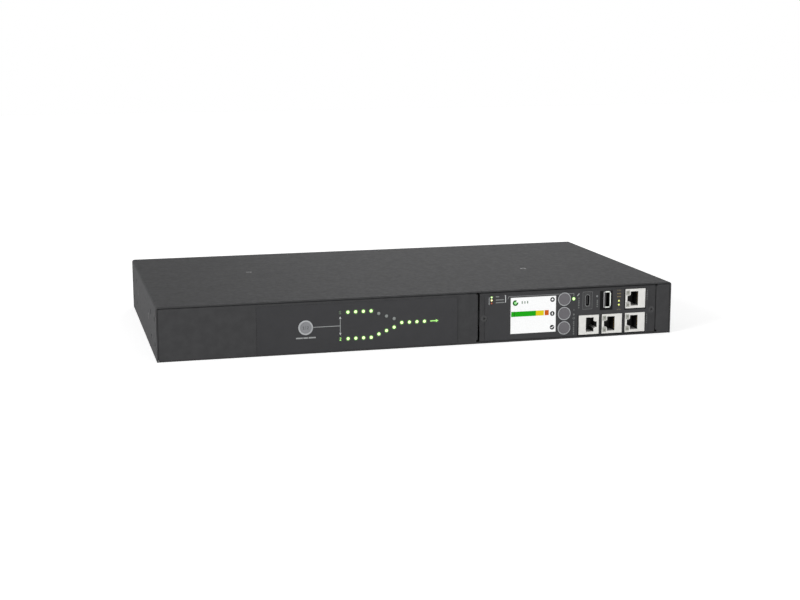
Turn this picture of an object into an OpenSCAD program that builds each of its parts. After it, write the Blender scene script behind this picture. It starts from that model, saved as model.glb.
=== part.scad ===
// Rack transfer switch: a one-unit chassis that feeds twelve outlets from whichever of two inlets is live.
// Frame: +X to the right seen from the front, +Y from the front face to the rear face, +Z up.
// Origin: centre of the chassis at the underside of its floor. All sizes are in millimetres.

/* [Chassis] */
// Width of the chassis over its cover
body_w = 432; // [426:1:450]
// Depth from the front face to the rear face
body_d = 238; // [234:1:280]
// Height from the underside to the top of the cover
body_h = 44; // [43.6:0.1:46]
// Thickness of the steel sheet
sheet_t = 1.2; // [1:0.05:1.3]
// Outside radius of the tray's folds
bend_r = 1.8; // [1.6:0.05:2]
// Outside radius of the cover's folds
cover_bend_r = 2.2; // [2:0.1:2.6]
// Clearance between the cover, the tray and the module
seam = 0.3; // [0.2:0.05:0.4]
// Depth of the folded lips along the top of the walls
lip_d = 9; // [7:0.5:10]
// Drop of the tray's side flanges below the top of the cover
flange_drop = 5; // [4:0.5:7]
// Length of the corner reliefs between the folds
relief = 1.6; // [1:0.1:2]

/* [Fixings] */
// Distance of the front side screws from the front face
side_screw_front = 70; // [60:1:90]
// Distance of the rear side screws from the rear face
side_screw_rear = 62; // [56:1:90]
// Height of the side screws above the middle of the chassis
side_screw_rise = 2; // [0:0.5:4]
// First top screw, from the left side
top_screw_1_x = 94.5; // [92:0.5:96]
// First top screw, from the front face
top_screw_1_y = 142; // [140:1:144]
// Second top screw, from the left side
top_screw_2_x = 333.5; // [331:0.5:336]
// Second top screw, from the front face
top_screw_2_y = 97; // [95:1:99]
// Shank diameter of the flat-head screws
screw_d = 3; // [2.6:0.1:3.2]
// Length of the flat-head screws
screw_l = 6; // [5:0.5:7]
// Diameter of the posts under the top screws
post_d = 6; // [5.4:0.2:7]
// Diameter of the holes for the rack ears
ear_hole_d = 4.3; // [4:0.1:4.6]
// Distance of an ear pattern's middle from the nearer face
ear_inset = 30; // [28:1:32]
// Spacing of the ear holes along the depth
ear_dy = 32; // [28:1:34]
// Spacing of the ear holes along the height
ear_dz = 20; // [16:1:22]
// Outside diameter of the clinch nuts
nut_d = 6.6; // [6:0.1:6.6]
// Height of the clinch nuts
nut_h = 2; // [1.6:0.1:2.2]

/* [Flow display] */
// Gap between the flow overlay and the module bay
flow_gap = 18.2; // [16:0.1:20]
// Width of the flow overlay
flow_w = 165; // [160:0.5:168]
// Gap above and below the flow overlay
flow_margin = 2.15; // [2:0.05:2.6]
// Thickness of the overlays
overlay_t = 0.4; // [0.3:0.05:0.6]
// First light, from the left edge of the flow overlay
led_inset = 73.7; // [71:0.1:75]
// Pitch of the flow lights
led_pitch = 6.35; // [6:0.05:6.4]
// Diameter of the flow lights
led_d = 3; // [2.4:0.1:3.4]
// Height of each source's row of lights above or below the middle
led_rise = 10.85; // [10:0.05:11.5]
// Drop of each light that leads from a source row to the output row
led_step = 2.45; // [2:0.05:2.6]
// Preference button, from the left edge of the flow overlay
preference_inset = 39.2; // [36:0.1:42]
// Diameter of the preference button
preference_d = 9.2; // [8.6:0.1:10]
// Width of the preference button's bezel
preference_rim = 1.3; // [0.8:0.1:1.4]
// Distance from the front face to the flow board
flow_board_y = 8; // [7.6:0.1:10]

/* [Interface module] */
// Right edge of the module bay, from the right side
bay_inset = 14; // [13:0.1:16]
// Width of the module bay
bay_w = 156.5; // [156:0.1:158]
// Gap at the left of the module in its bay
bay_gap = 1.1; // [0.8:0.1:1.3]
// Distance of the module's screws from its ends
module_screw_inset = 3.6; // [3.6:0.1:4]
// Left edge of the module's overlay, from the module's left end
module_overlay_left = 4.2; // [4:0.1:5]
// Gap between the module's overlay and the module's right end
module_overlay_right = 6.5; // [6:0.1:7]
// Gap above and below the module's overlay
module_overlay_margin = 2.35; // [2.2:0.05:2.5]
// Width of the visible screen
screen_w = 39.4; // [38:0.1:40.6]
// Height of the visible screen
screen_h = 30.2; // [28:0.1:31]
// Middle of the screen, from the module's left end
screen_x = 46.2; // [46:0.1:46.8]
// Middle of the screen above the middle of the panel
screen_rise = 0.85; // [0:0.05:1.2]
// Middle of the navigation buttons, from the module's left end
nav_x = 73.3; // [73:0.1:74]
// Pitch of the navigation buttons
nav_pitch = 12.15; // [12:0.05:12.4]
// Diameter of the navigation buttons
nav_d = 9.7; // [9:0.1:9.9]
// Width of the navigation buttons' bezels
nav_rim = 0.7; // [0.5:0.05:0.8]
// Travel of every button
button_travel = 0.6; // [0.4:0.1:0.8]
// Width of a network jack
jack_w = 18; // [17:0.1:18.4]
// Height of a network jack
jack_h = 16.4; // [16:0.1:17]
// Pitch of the jacks along the module
jack_pitch_x = 20.7; // [20.4:0.1:21]
// Pitch of the jacks along the height
jack_pitch_z = 20.4; // [20:0.05:20.5]
// Gap between the right-hand jacks and the module's right end
jack_margin = 9.3; // [8.6:0.05:9.5]
// Middle of the USB-C port, from the module's left end
usb_c_x = 93.8; // [93:0.1:94.5]
// Middle of the USB-A port, from the module's left end
usb_a_x = 111.2; // [110.5:0.1:112]
// Middle of the ports above the middle of the panel
port_rise = 10.6; // [10:0.1:11]
// Distance from the front face to the interface board
module_board_y = 13; // [12.6:0.1:15]

/* [Rear panel] */
// Pitch of the outlets within a bank
outlet_pitch = 24; // [23.6:0.1:24.4]
// Outlets in each bank
outlets_per_bank = 3; // [3:1:3]
// Gap between neighbouring banks
bank_gap = 0.6; // [0.4:0.1:1]
// Right edge of the first outlet bank, from the right side
bank_inset = 6.5; // [6:0.1:8]
// Height of an outlet bank's flange
bank_h = 34; // [33.4:0.2:35]
// Depth of an outlet bank behind the rear face
bank_d = 24; // [22:0.5:26]
// Thickness of an outlet bank's flange
bank_flange_t = 1.6; // [1.2:0.1:1.8]
// Width of the recess that takes a plug's shroud
recess_w = 21.4; // [21:0.1:21.6]
// Height of the recess that takes a plug's shroud
recess_h = 29.4; // [29:0.1:29.6]
// Depth of the recess that takes a plug's shroud
recess_d = 16; // [15:0.5:17]
// Width of an outlet's core
core_w = 15.8; // [15.2:0.1:16]
// Height of an outlet's core
core_h = 24; // [23.4:0.1:24.2]
// Distance between the middles of the two inlets
inlet_pitch = 52; // [51:0.5:53]
// Middle of the first inlet, from the left side
inlet_inset = 32; // [31.5:0.5:33]
// Distance between an inlet's two screws
inlet_screws_dx = 40; // [39:0.5:41]
// Width of the cavity in an inlet
cavity_w = 24.6; // [24.4:0.1:25]
// Height of the cavity in an inlet
cavity_h = 16.6; // [16.4:0.1:17]
// Depth of the cavity in an inlet
cavity_d = 17; // [16:0.5:18]
// Distance of the line and neutral pins from an inlet's middle
pin_dx = 7; // [6.8:0.1:7.2]
// Distance of the earth pin from the line through the other two
pin_dz = 4; // [3.8:0.1:4.2]
// Ground screw, from the left side
ground_x = 119; // [115:0.5:122]

/* [Power board] */
// Gap between the power board and each side of the chassis
board_side = 16; // [14:1:18]
// Depth of the power board
board_l = 128; // [126:1:130]
// Front edge of the power board, from the front face
board_front = 50; // [48:1:52]
// Height of the board's underside above the tray's floor
board_rise = 8; // [6.5:0.5:8.5]
// Thickness of every circuit board
pcb_t = 1.6; // [1.2:0.1:1.8]
// Width of a power relay
relay_w = 16; // [14:0.5:18]
// Depth of a power relay
relay_l = 30; // [28:0.5:32]
// Height of a power relay
relay_h = 24; // [20:0.5:26]
// Spacing of the power relays along the width
relay_pitch = 24; // [22:0.5:25]
// Side of a control transformer
transformer_w = 34; // [30:0.5:36]
// Height of a control transformer
transformer_h = 26; // [22:0.5:27]
// Diameter of a filter capacitor
capacitor_d = 16; // [12:0.5:18]
// Height of a filter capacitor
capacitor_h = 25; // [20:0.5:27]
// Diameter of the insulated wires
wire_d = 3; // [2.4:0.1:3.4]

/* [Hidden] */
$fn = 48;

// Clearances and small fixed sizes
slip = 0.1;
fit_gap = 0.15;
cut = 1;

// Steps of the layout that the rows of parts fill, across the chassis, up it, and across the bay
layout_step = 4;
wide = body_w / (108 * layout_step);
tall = body_h / (11 * layout_step);
broad = bay_w / (39.125 * layout_step);

// Planes and edges of the chassis
front_y = -body_d / 2;
rear_y = body_d / 2;
left_x = -body_w / 2;
right_x = body_w / 2;
mid_z = body_h / 2;
bend_in = bend_r - sheet_t;
tray_w = body_w - 2 * (sheet_t + seam);
side_in_x = tray_w / 2 - sheet_t;
flange_h = body_h - flange_drop;
wall_top = body_h - sheet_t - seam;
corner_trim = (cover_bend_r - sheet_t) / 2;
panel_z = wall_top / 2;
face_y = front_y - overlay_t;

// Flat-head screws
head_d = screw_d + 2 * sheet_t;
drive_w = 2.6;
drive_t = 0.7;
drive_h = 1;
side_screw_z = mid_z + side_screw_rise;
side_screw_ys = [front_y + side_screw_front, rear_y - side_screw_rear];
top_screws = [
    [left_x + top_screw_1_x * wide, front_y + top_screw_1_y],
    [left_x + top_screw_2_x * wide, front_y + top_screw_2_y]
];
ear_ys = [
    for (middle = [front_y + ear_inset, rear_y - ear_inset], side = [-1, 1])
        middle + side * ear_dy / 2
];
ear_zs = [mid_z - ear_dz / 2, mid_z + ear_dz / 2];

// Module bay
bay_x1 = right_x - bay_inset;
bay_x0 = bay_x1 - bay_w;
bay_x = (bay_x0 + bay_x1) / 2;

// Flow display
flow_x0 = bay_x0 - flow_gap - flow_w;
flow_x = flow_x0 + flow_w / 2;
flow_h = wall_top - 2 * flow_margin;
led_x = flow_x0 + led_inset;
led_up = 0.5;
led_z = panel_z + led_up;
row_count = 4;
step_count = 3;
output_count = 4;
preference_x = flow_x0 + preference_inset;
legend_d = 3.2;
output_legend_w = 7.6;
output_legend_gap = 1.9;
output_legend_x = led_x + (row_count + step_count + output_count) * led_pitch + output_legend_gap;
output_legend = [output_legend_x, led_z];
flow_board_front = front_y + flow_board_y;
flow_board_w = 130;
flow_board_margin = 2.1;
flow_board_h = flow_h - 2 * flow_board_margin;
flow_board_shift = 8;
flow_board_x = flow_x + flow_board_shift;

// Buttons
flange_w = 0.7;
flange_t = 1.2;
stem_d = 3.4;
stem_in = 1.2;
switch_w = 6;
switch_h = 3.5;
bezel_t = 0.3;
cap_proud = 0.25;

// Interface module
module_x0 = bay_x0 + bay_gap;
module_x1 = bay_x1 - seam;
module_z0 = bend_r + seam;
module_z1 = wall_top - seam;
tab_w = bay_gap + module_screw_inset + nut_d / 2;
tab_h = 12;
tab_y = front_y + sheet_t + nut_h;
tab_fold_y = tab_y + sheet_t - bend_r;
module_screw_xs = [module_x0 + module_screw_inset, module_x1 - module_screw_inset];
module_overlay_x0 = module_x0 + module_overlay_left;
module_board_front = front_y + module_board_y;
module_overlay_x1 = module_x1 - module_overlay_right;
module_overlay_h = wall_top - 2 * module_overlay_margin * tall;
screen_mid = [module_x0 + screen_x * broad, panel_z + screen_rise];
screen_size = [screen_w * broad, screen_h * tall];
nav_mid_x = module_x0 + nav_x * broad;
nav_up = 0.6;
nav_zs = [for (i = [1, 0, -1]) panel_z + nav_up + i * nav_pitch * tall];
nav_cap_d = nav_d * min(broad, tall);
jack_size = [jack_w * broad, jack_h * tall];
jack_xs = [for (i = [0:2]) module_x1 - jack_margin - jack_size.x / 2 - i * jack_pitch_x * broad];
jack_up = 0.05;
jack_low_z = panel_z + jack_up - jack_pitch_z * tall / 2;
jack_high_z = jack_low_z + jack_pitch_z * tall;
jack_front = front_y - overlay_t / 2;
jack_depth = 11.5;
port_z = panel_z + port_rise * tall;
usb_c_mid = [module_x0 + usb_c_x * broad, port_z];
usb_a_mid = [module_x0 + usb_a_x * broad, port_z];

// Small lights of the module
status_d = 1.8;
status_step = 2.5;
status_x = 9.9;
status_rise = 17.3;
status_lights = [for (i = [0:2]) [module_x0 + status_x, panel_z + (status_rise - status_step * i) * tall]];
power_light_x = 81.6;
power_light_rise = 12.6;
power_light = [module_x0 + power_light_x * broad, panel_z + power_light_rise * tall];
power_light_d = 3;
link_x = 122;
link_rise = 8.9;
link_step = 3.3;
link_lights = [for (i = [0, 1]) [module_x0 + link_x * broad, panel_z + (link_rise - link_step * i) * tall]];

// Boards inside the module
module_board_x0 = module_x0 + 7;
module_board_x1 = module_x1 - 2;
module_board_z0 = module_z0 + 0.5;
module_board_z1 = module_z1 - sheet_t - 0.4;
lcd_right = 0.7;
lcd_left = 3.4;
lcd_rim = 1.5;
lcd_t = 2.5;
lcd_back = front_y + sheet_t + lcd_t;
lcd_wall = 1.2;

// Rear panel
outlet_step = outlet_pitch * wide;
bank_body_cut = 0.2;
bank_flange_rim = 0.8;
bank_edge = 1.2;
bank_body_w = outlets_per_bank * outlet_step - 2 * bank_body_cut;
bank_w = outlets_per_bank * outlet_step + 2 * bank_flange_rim;
bank_flange_h = bank_h * tall;
bank_body_h = bank_flange_h - 2 * bank_edge;
bank_pitch = bank_w + bank_gap;
bank_xs = [for (i = [0:3]) right_x - bank_inset * wide - bank_w / 2 - i * bank_pitch];
recess_size = [recess_w * wide, recess_h * tall];
core_size = [core_w * wide, core_h * tall];
core_drop = 1;
chamfer = 4.4;
slot_w = 4.6;
slot_h = 2.6;
slot_d = 13;
inlet_xs = [left_x + inlet_inset * wide, left_x + (inlet_inset + inlet_pitch) * wide];
inlet_screw_dx = inlet_screws_dx * wide / 2;
inlet_flange_w = 2 * (inlet_screw_dx + 5);
inlet_flange_h = 23;
inlet_flange_t = 2.4;
inlet_wall = 1.6;
inlet_back = 3;
inlet_back_y = rear_y + inlet_flange_t - cavity_d - inlet_back;
tab_l = 8;
pin_w = 2;
pin_h = 4;
bar_t = 1;
bar_h = 5;
bar_y = rear_y - bank_d - bar_t;

ground_d = 4;
ground_washer_d = 9;
ground_washer_t = 0.8;
ground_head_d = 7.6;
ground_head_h = 2.2;
ground_l = 8;

// Power board
board_w = body_w - 2 * board_side;
board_z = sheet_t + board_rise;
board_top = board_z + pcb_t;
board_y = front_y + board_front;
board_rear_y = board_y + board_l;
standoff_d = 5.6;
standoff_inset = 10;
standoff_dy = 97;
standoffs = [
    for (x = [-1, 0, 1], y = [standoff_inset, standoff_inset + standoff_dy])
        [x * (board_w / 2 - standoff_inset), board_y + y]
];
terminal_l = 12;
terminal_depth = 6;
terminal_y = board_rear_y - terminal_l - 1;
header_w = 20;
header_l = 6;
header_h = 8;
ribbon_w = 18;
ribbon_t = 0.9;
ribbon_rise = 2;
ribbon_z = mid_z + ribbon_rise;
ribbon_r = 3;
header_inset = 5;
header_y = board_y + header_inset;
flow_header_x = flow_board_x;
module_header_inset = 105;
module_header_x = module_x0 + module_header_inset * broad;
output_terminal_inset = 14;
output_terminal_x = bank_xs[3] - bank_w / 2 + output_terminal_inset;
bar_zs = [mid_z + pin_dx, mid_z, mid_z - pin_dx];
feed_dx = 8;

// Places of the flow lights: the row of one source, then the steps that lead to the output row
function source_lights(side) = concat(
    [for (i = [0:row_count - 1]) [led_x + i * led_pitch, led_z + side * led_rise * tall]],
    [for (j = [1:step_count])
        [led_x + (row_count + j - 1) * led_pitch, led_z + side * (led_rise - j * led_step) * tall]]
);
function output_lights() =
    [for (i = [0:output_count - 1]) [led_x + (row_count + step_count + i) * led_pitch, led_z]];
function legend_spot(side) = [led_x - led_pitch, led_z + side * led_rise * tall];

// ---------- Shared forms ----------

// Outline in the XZ plane, made solid from y0 to y1
module slab(y0, y1) {
    translate([0, y1, 0]) rotate([90, 0, 0]) linear_extrude(y1 - y0) children();
}

// Profile in the YZ plane, run from x0 to x1
module run_x(x0, x1) {
    translate([x0, 0, 0]) rotate([90, 0, 90]) linear_extrude(x1 - x0) children();
}

// Round bar along Y
module rod_y(x, z, d, y0, y1) {
    translate([x, y1, z]) rotate([90, 0, 0]) cylinder(d = d, h = y1 - y0);
}

// Round bar along X
module rod_x(y, z, d, x0, x1) {
    translate([x0, y, z]) rotate([0, 90, 0]) cylinder(d = d, h = x1 - x0);
}

// Both halves of something that is symmetrical about the middle plane X = 0
module both_sides() {
    children();
    mirror([1, 0, 0]) children();
}

// Section of a fold round its centre, in the quadrant that starts at the given turn
module fold(turn, outer = bend_r, inner = bend_in) {
    rotate(turn) intersection() {
        difference() {
            circle(r = outer);
            circle(r = inner);
        }
        square(outer + cut);
    }
}

// Box outline given by its middle
module window(middle, size) {
    translate(middle) square(size, center = true);
}

// Flat-head screw with its flat face at the origin, pointing along -Z
module flat_head_screw(l = screw_l) {
    difference() {
        union() {
            translate([0, 0, -sheet_t]) cylinder(d1 = screw_d, d2 = head_d, h = sheet_t);
            translate([0, 0, -l]) cylinder(d = screw_d, h = l);
        }
        for (turn = [0, 90]) rotate([0, 0, turn]) translate([-drive_w / 2, -drive_t / 2, -drive_h])
            cube([drive_w, drive_t, drive_h + cut]);
    }
}

// Countersunk clearance hole for that screw
module screw_hole(l = screw_l) {
    translate([0, 0, -sheet_t]) cylinder(d1 = screw_d + 2 * slip, d2 = head_d + 2 * slip, h = sheet_t);
    translate([0, 0, -l - cut]) cylinder(d = screw_d + 2 * slip, h = l + 2 * cut);
}

// Puts its children at every flat-head screw, with +Z pointing out of the chassis
module at_top_screws() {
    for (p = top_screws) translate([p.x, p.y, body_h]) children();
}
module at_side_screws() {
    both_sides() for (y = side_screw_ys)
        translate([right_x, y, side_screw_z]) rotate([0, 90, 0]) children();
}
module at_module_screws() {
    for (x = module_screw_xs) translate([x, front_y, panel_z]) rotate([90, 0, 0]) children();
}
module at_inlet_screws() {
    for (x = inlet_xs, side = [-1, 1])
        translate([x + side * inlet_screw_dx, rear_y + inlet_flange_t, mid_z]) rotate([-90, 0, 0])
            children();
}

// ---------- Chassis ----------

// Floor, front wall, rear wall and their top lips, folded from one sheet
module tray_profile() {
    translate([front_y + bend_r, 0]) square([body_d - 2 * bend_r, sheet_t]);
    both_sides() {
        translate([front_y, bend_r]) square([sheet_t, wall_top - 2 * bend_r]);
        translate([front_y + bend_r, bend_r]) fold(180);
        translate([front_y + bend_r, wall_top - bend_r]) fold(90);
        translate([front_y + bend_r, wall_top - sheet_t]) square([lip_d - bend_r, sheet_t]);
    }
}

// Side flanges with the folds that join them to the floor
module flange_profile() {
    both_sides() {
        translate([tray_w / 2 - bend_r, bend_r]) fold(270);
        translate([side_in_x, bend_r]) square([sheet_t, flange_h - bend_r]);
    }
}

// Edge of the module bay, seen from above: the wall turns in
module bay_edge_profile() {
    translate([bay_w / 2 + bend_r, front_y + bend_r]) fold(180);
    translate([bay_w / 2, front_y + bend_r]) square([sheet_t, tab_fold_y - front_y - bend_r]);
}

// Tab at that edge, seen from above: it turns behind the module to take its screw
module bay_tab_profile() {
    translate([bay_w / 2 + sheet_t - bend_r, tab_fold_y]) fold(0);
    translate([bay_w / 2 - tab_w, tab_y]) square([tab_w + sheet_t - bend_r, sheet_t]);
}

module bay_edges() {
    edge_z0 = bend_r + relief;
    translate([bay_x, 0, 0]) both_sides() {
        translate([0, 0, edge_z0]) linear_extrude(wall_top - sheet_t - edge_z0) bay_edge_profile();
        translate([0, 0, panel_z - tab_h / 2]) linear_extrude(tab_h) bay_tab_profile();
    }
}

// Openings that the inlets and outlet banks pass through
module rear_cutouts() {
    for (x = bank_xs)
        window([x, mid_z], [bank_body_w + 2 * fit_gap, bank_body_h + 2 * fit_gap]);
    for (x = inlet_xs) {
        window([x, mid_z], [cavity_w + 2 * (inlet_wall + fit_gap), cavity_h + 2 * (inlet_wall + fit_gap)]);
        for (side = [-1, 1])
            translate([x + side * inlet_screw_dx, mid_z]) circle(d = screw_d + 2 * slip);
    }
    translate([left_x + ground_x * wide, mid_z]) circle(d = ground_d + 2 * slip);
}

// Holes through the front wall behind the flow overlay
module flow_cutouts(gap) {
    for (p = concat(source_lights(1), source_lights(-1), output_lights()))
        translate(p) circle(d = led_d + 2 * gap);
    for (side = [-1, 1]) translate(legend_spot(side)) circle(d = legend_d + 2 * gap);
    window(output_legend, [output_legend_w + 2 * gap, legend_d + 2 * gap]);
    translate([preference_x, led_z]) circle(d = preference_d + 2 * slip);
}

module base_tray() {
    color([0.23, 0.23, 0.24]) {
        difference() {
            run_x(-tray_w / 2, tray_w / 2) tray_profile();
            // Strips of floor that the side folds take up
            both_sides() translate([tray_w / 2 - bend_r, front_y + bend_r, -cut])
                cube([bend_r + cut, body_d - 2 * bend_r, sheet_t + 2 * cut]);
            // Trimmed corners inside the cover's folds
            both_sides() translate([tray_w / 2 - corner_trim, front_y - cut, wall_top - corner_trim])
                cube([corner_trim + cut, body_d + 2 * cut, corner_trim + cut]);
            // Module bay, open at the top, with its relief notches
            translate([bay_x0 - bend_r, front_y - cut, bend_r])
                cube([bay_w + 2 * bend_r, lip_d + 2 * cut, wall_top]);
            slab(front_y - cut, front_y + sheet_t + cut) flow_cutouts(fit_gap);
            slab(rear_y - sheet_t - cut, rear_y + cut) rear_cutouts();
            for (p = top_screws) translate([p.x, p.y, -cut]) cylinder(d = screw_d, h = sheet_t + 2 * cut);
        }
        difference() {
            slab(front_y + bend_r + relief, rear_y - bend_r - relief) flange_profile();
            at_side_screws() screw_hole();
            both_sides() for (y = ear_ys, z = ear_zs)
                rod_x(y, z, ear_hole_d, side_in_x - cut, right_x + cut);
        }
        difference() {
            bay_edges();
            at_module_screws() screw_hole();
        }
    }
}

module cover_profile() {
    square_w = body_w - 2 * cover_bend_r;
    translate([-square_w / 2, body_h - sheet_t]) square([square_w, sheet_t]);
    both_sides() {
        translate([right_x - sheet_t, seam]) square([sheet_t, body_h - cover_bend_r - seam]);
        translate([right_x - cover_bend_r, body_h - cover_bend_r])
            fold(0, cover_bend_r, cover_bend_r - sheet_t);
    }
}

module top_cover() {
    color([0.25, 0.25, 0.26]) difference() {
        slab(front_y, rear_y) cover_profile();
        at_top_screws() screw_hole(0);
        at_side_screws() screw_hole(0);
        both_sides() for (y = ear_ys, z = ear_zs)
            rod_x(y, z, ear_hole_d, right_x - sheet_t - cut, right_x + cut);
    }
}

module flat_head_screws() {
    color([0.12, 0.12, 0.13]) {
        at_top_screws() flat_head_screw();
        at_side_screws() flat_head_screw();
        at_module_screws() flat_head_screw();
        at_inlet_screws() flat_head_screw(2 * screw_l);
    }
}

// Posts that stand on the floor and take the top screws
module cover_posts() {
    color([0.72, 0.72, 0.7]) for (p = top_screws) translate([p.x, p.y, sheet_t]) difference() {
        cylinder(d = post_d, h = body_h - 2 * sheet_t, $fn = 6);
        translate([0, 0, body_h - 2 * sheet_t - screw_l]) cylinder(d = screw_d + 2 * slip, h = screw_l + cut);
    }
}

// Clinch nuts: one ring with its seat at the origin, standing along -Z
module clinch_nut(bore) {
    translate([0, 0, -nut_h]) difference() {
        cylinder(d = nut_d, h = nut_h);
        translate([0, 0, -cut]) cylinder(d = bore, h = nut_h + 2 * cut);
    }
}

module clinch_nuts() {
    wall = sheet_t + seam + sheet_t;
    color([0.66, 0.66, 0.64]) {
        at_side_screws() translate([0, 0, -wall]) clinch_nut(screw_d + 2 * slip);
        at_module_screws() translate([0, 0, -sheet_t]) clinch_nut(screw_d + 2 * slip);
        at_inlet_screws() translate([0, 0, -inlet_flange_t - sheet_t]) clinch_nut(screw_d + 2 * slip);
        both_sides() for (y = ear_ys, z = ear_zs)
            translate([side_in_x, y, z]) rotate([0, 90, 0]) clinch_nut(ear_hole_d);
    }
}

module ground_screw() {
    x = left_x + ground_x * wide;
    color([0.72, 0.62, 0.3]) difference() {
        union() {
            rod_y(x, mid_z, ground_washer_d, rear_y, rear_y + ground_washer_t);
            rod_y(x, mid_z, ground_head_d, rear_y, rear_y + ground_washer_t + ground_head_h);
            rod_y(x, mid_z, ground_d, rear_y - ground_l, rear_y + cut);
        }
        translate([x, rear_y + ground_washer_t + ground_head_h, mid_z])
            for (turn = [0, 90]) rotate([0, turn, 0]) cube([4.4, 2.4, 0.9], center = true);
    }
}

// ---------- Flow display ----------

module flow_overlay() {
    color([0.18, 0.18, 0.19]) slab(face_y, front_y) difference() {
        window([flow_x, panel_z], [flow_w, flow_h]);
        flow_cutouts(slip / 2);
    }
}

module flow_board() {
    color([0.06, 0.28, 0.16]) slab(flow_board_front, flow_board_front + pcb_t)
        window([flow_board_x, panel_z], [flow_board_w, flow_board_h]);
}

// Light emitters on the front of both boards
chip_w = 1.6;
chip_h = 0.9;

module led_chips() {
    legends = [legend_spot(1), legend_spot(-1), output_legend];
    color([0.92, 0.9, 0.7]) {
        slab(flow_board_front - chip_h, flow_board_front)
            for (p = concat(source_lights(1), source_lights(-1), output_lights(), legends))
                window(p, [chip_w, chip_w]);
        slab(module_board_front - chip_h, module_board_front)
            for (p = concat(status_lights, [power_light], link_lights)) window(p, [chip_w, chip_w]);
    }
}

// Light guides that reach from the overlay to the emitters
module light_guides(spots, d, board_front) {
    for (p = spots) rod_y(p.x, p.y, d, face_y, board_front - chip_h - slip);
}

module source_1_lenses() {
    color([0.75, 0.93, 0.6]) light_guides(source_lights(1), led_d, flow_board_front);
}

module source_2_lenses() {
    color([0.75, 0.93, 0.6]) light_guides(source_lights(-1), led_d, flow_board_front);
}

module output_lenses() {
    color([0.75, 0.93, 0.6]) light_guides(output_lights(), led_d, flow_board_front);
}

module legend_lenses() {
    color([0.2, 0.22, 0.2]) {
        light_guides([legend_spot(1), legend_spot(-1)], legend_d, flow_board_front);
        slab(face_y, flow_board_front - chip_h - slip) window(output_legend, [output_legend_w, legend_d]);
    }
}

// Spacers between the panels and their boards
flow_spacer_dx = 60;
flow_spacer_dz = 14;
flow_spacers = [
    for (x = [-1, 1], z = [-1, 1])
        [flow_board_x + x * flow_spacer_dx, panel_z + z * flow_spacer_dz * tall]
];
spacer_left = 12.5;
spacer_right = 5;
module_spacers = [
    [module_x0 + spacer_left, panel_z - 13 * tall],
    [module_x0 + spacer_left, panel_z + 6 * tall],
    [module_x1 - spacer_right, panel_z - 13 * tall],
    [module_x1 - spacer_right, panel_z + 14 * tall]
];
spacer_d = 5;

module panel_spacers() {
    color([0.72, 0.72, 0.7]) {
        for (p = flow_spacers) rod_y(p.x, p.y, spacer_d, front_y + sheet_t, flow_board_front);
        for (p = module_spacers) rod_y(p.x, p.y, spacer_d, front_y + sheet_t, module_board_front);
    }
}

// ---------- Buttons ----------

// Raised ring round a button, standing on the overlay
module bezel(spot, d, rim) {
    slab(face_y - bezel_t, face_y) translate(spot) difference() {
        circle(d = d + 2 * rim);
        circle(d = d + 2 * slip);
    }
}

// Cap with the flange that keeps it behind the panel and the stem that works the switch
module push_cap(spot, d, board_front) {
    flange_y = front_y + sheet_t + slip;
    rod_y(spot.x, spot.y, d, face_y - bezel_t - cap_proud, flange_y);
    rod_y(spot.x, spot.y, d + 2 * flange_w, flange_y, flange_y + flange_t);
    rod_y(spot.x, spot.y, stem_d, flange_y, board_front - switch_h + stem_in);
}

// Housing of the switch that a stem works
module push_switch(spot, board_front) {
    slab(board_front - switch_h, board_front) difference() {
        window(spot, [switch_w, switch_w]);
        translate(spot) circle(d = stem_d + 2 * slip);
    }
    slab(board_front - switch_h + stem_in + button_travel + slip, board_front)
        window(spot, [switch_w, switch_w]);
}

module preference_bezel() {
    color([0.7, 0.71, 0.72]) bezel([preference_x, led_z], preference_d, preference_rim);
}

module preference_cap() {
    color([0.56, 0.57, 0.58]) push_cap([preference_x, led_z], preference_d, flow_board_front);
}

module preference_switch() {
    color([0.12, 0.12, 0.12]) push_switch([preference_x, led_z], flow_board_front);
}

module nav_bezels() {
    color([0.66, 0.67, 0.68]) for (z = nav_zs) bezel([nav_mid_x, z], nav_cap_d, nav_rim);
}

module nav_cap(z) {
    color([0.44, 0.43, 0.45]) push_cap([nav_mid_x, z], nav_cap_d, module_board_front);
}

module menu_cap() {
    nav_cap(nav_zs[0]);
}

module scroll_cap() {
    nav_cap(nav_zs[1]);
}

module select_cap() {
    nav_cap(nav_zs[2]);
}

module nav_switches() {
    color([0.12, 0.12, 0.12]) for (z = nav_zs) push_switch([nav_mid_x, z], module_board_front);
}

// ---------- Interface module ----------

usb_c_w = 6.4;
usb_c_h = 13.8 * tall;
usb_a_w = 5.8;
usb_a_h = 13.2 * tall;

// Everything that shows through the module's plate, each opening wider by the gap on every side
module module_cutouts(gap) {
    window(screen_mid, [screen_size.x + 2 * gap, screen_size.y + 2 * gap]);
    for (z = nav_zs) translate([nav_mid_x, z]) circle(d = nav_cap_d + 2 * slip);
    for (i = [0:2]) window([jack_xs[i], jack_low_z], [jack_size.x + 2 * gap, jack_size.y + 2 * gap]);
    window([jack_xs[0], jack_high_z], [jack_size.x + 2 * gap, jack_size.y + 2 * gap]);
    window(usb_c_mid, [usb_c_w + 2 * gap, usb_c_h + 2 * gap]);
    window(usb_a_mid, [usb_a_w + 2 * gap, usb_a_h + 2 * gap]);
    for (p = concat(status_lights, link_lights)) translate(p) circle(d = status_d + 2 * gap);
    translate(power_light) circle(d = power_light_d + 2 * gap);
}

// Front plate with the lip folded back along its top
module carrier_profile() {
    translate([front_y, module_z0]) square([sheet_t, module_z1 - bend_r - module_z0]);
    translate([front_y + bend_r, module_z1 - bend_r]) fold(90);
    translate([front_y + bend_r, module_z1 - sheet_t]) square([lip_d - bend_r, sheet_t]);
}

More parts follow.
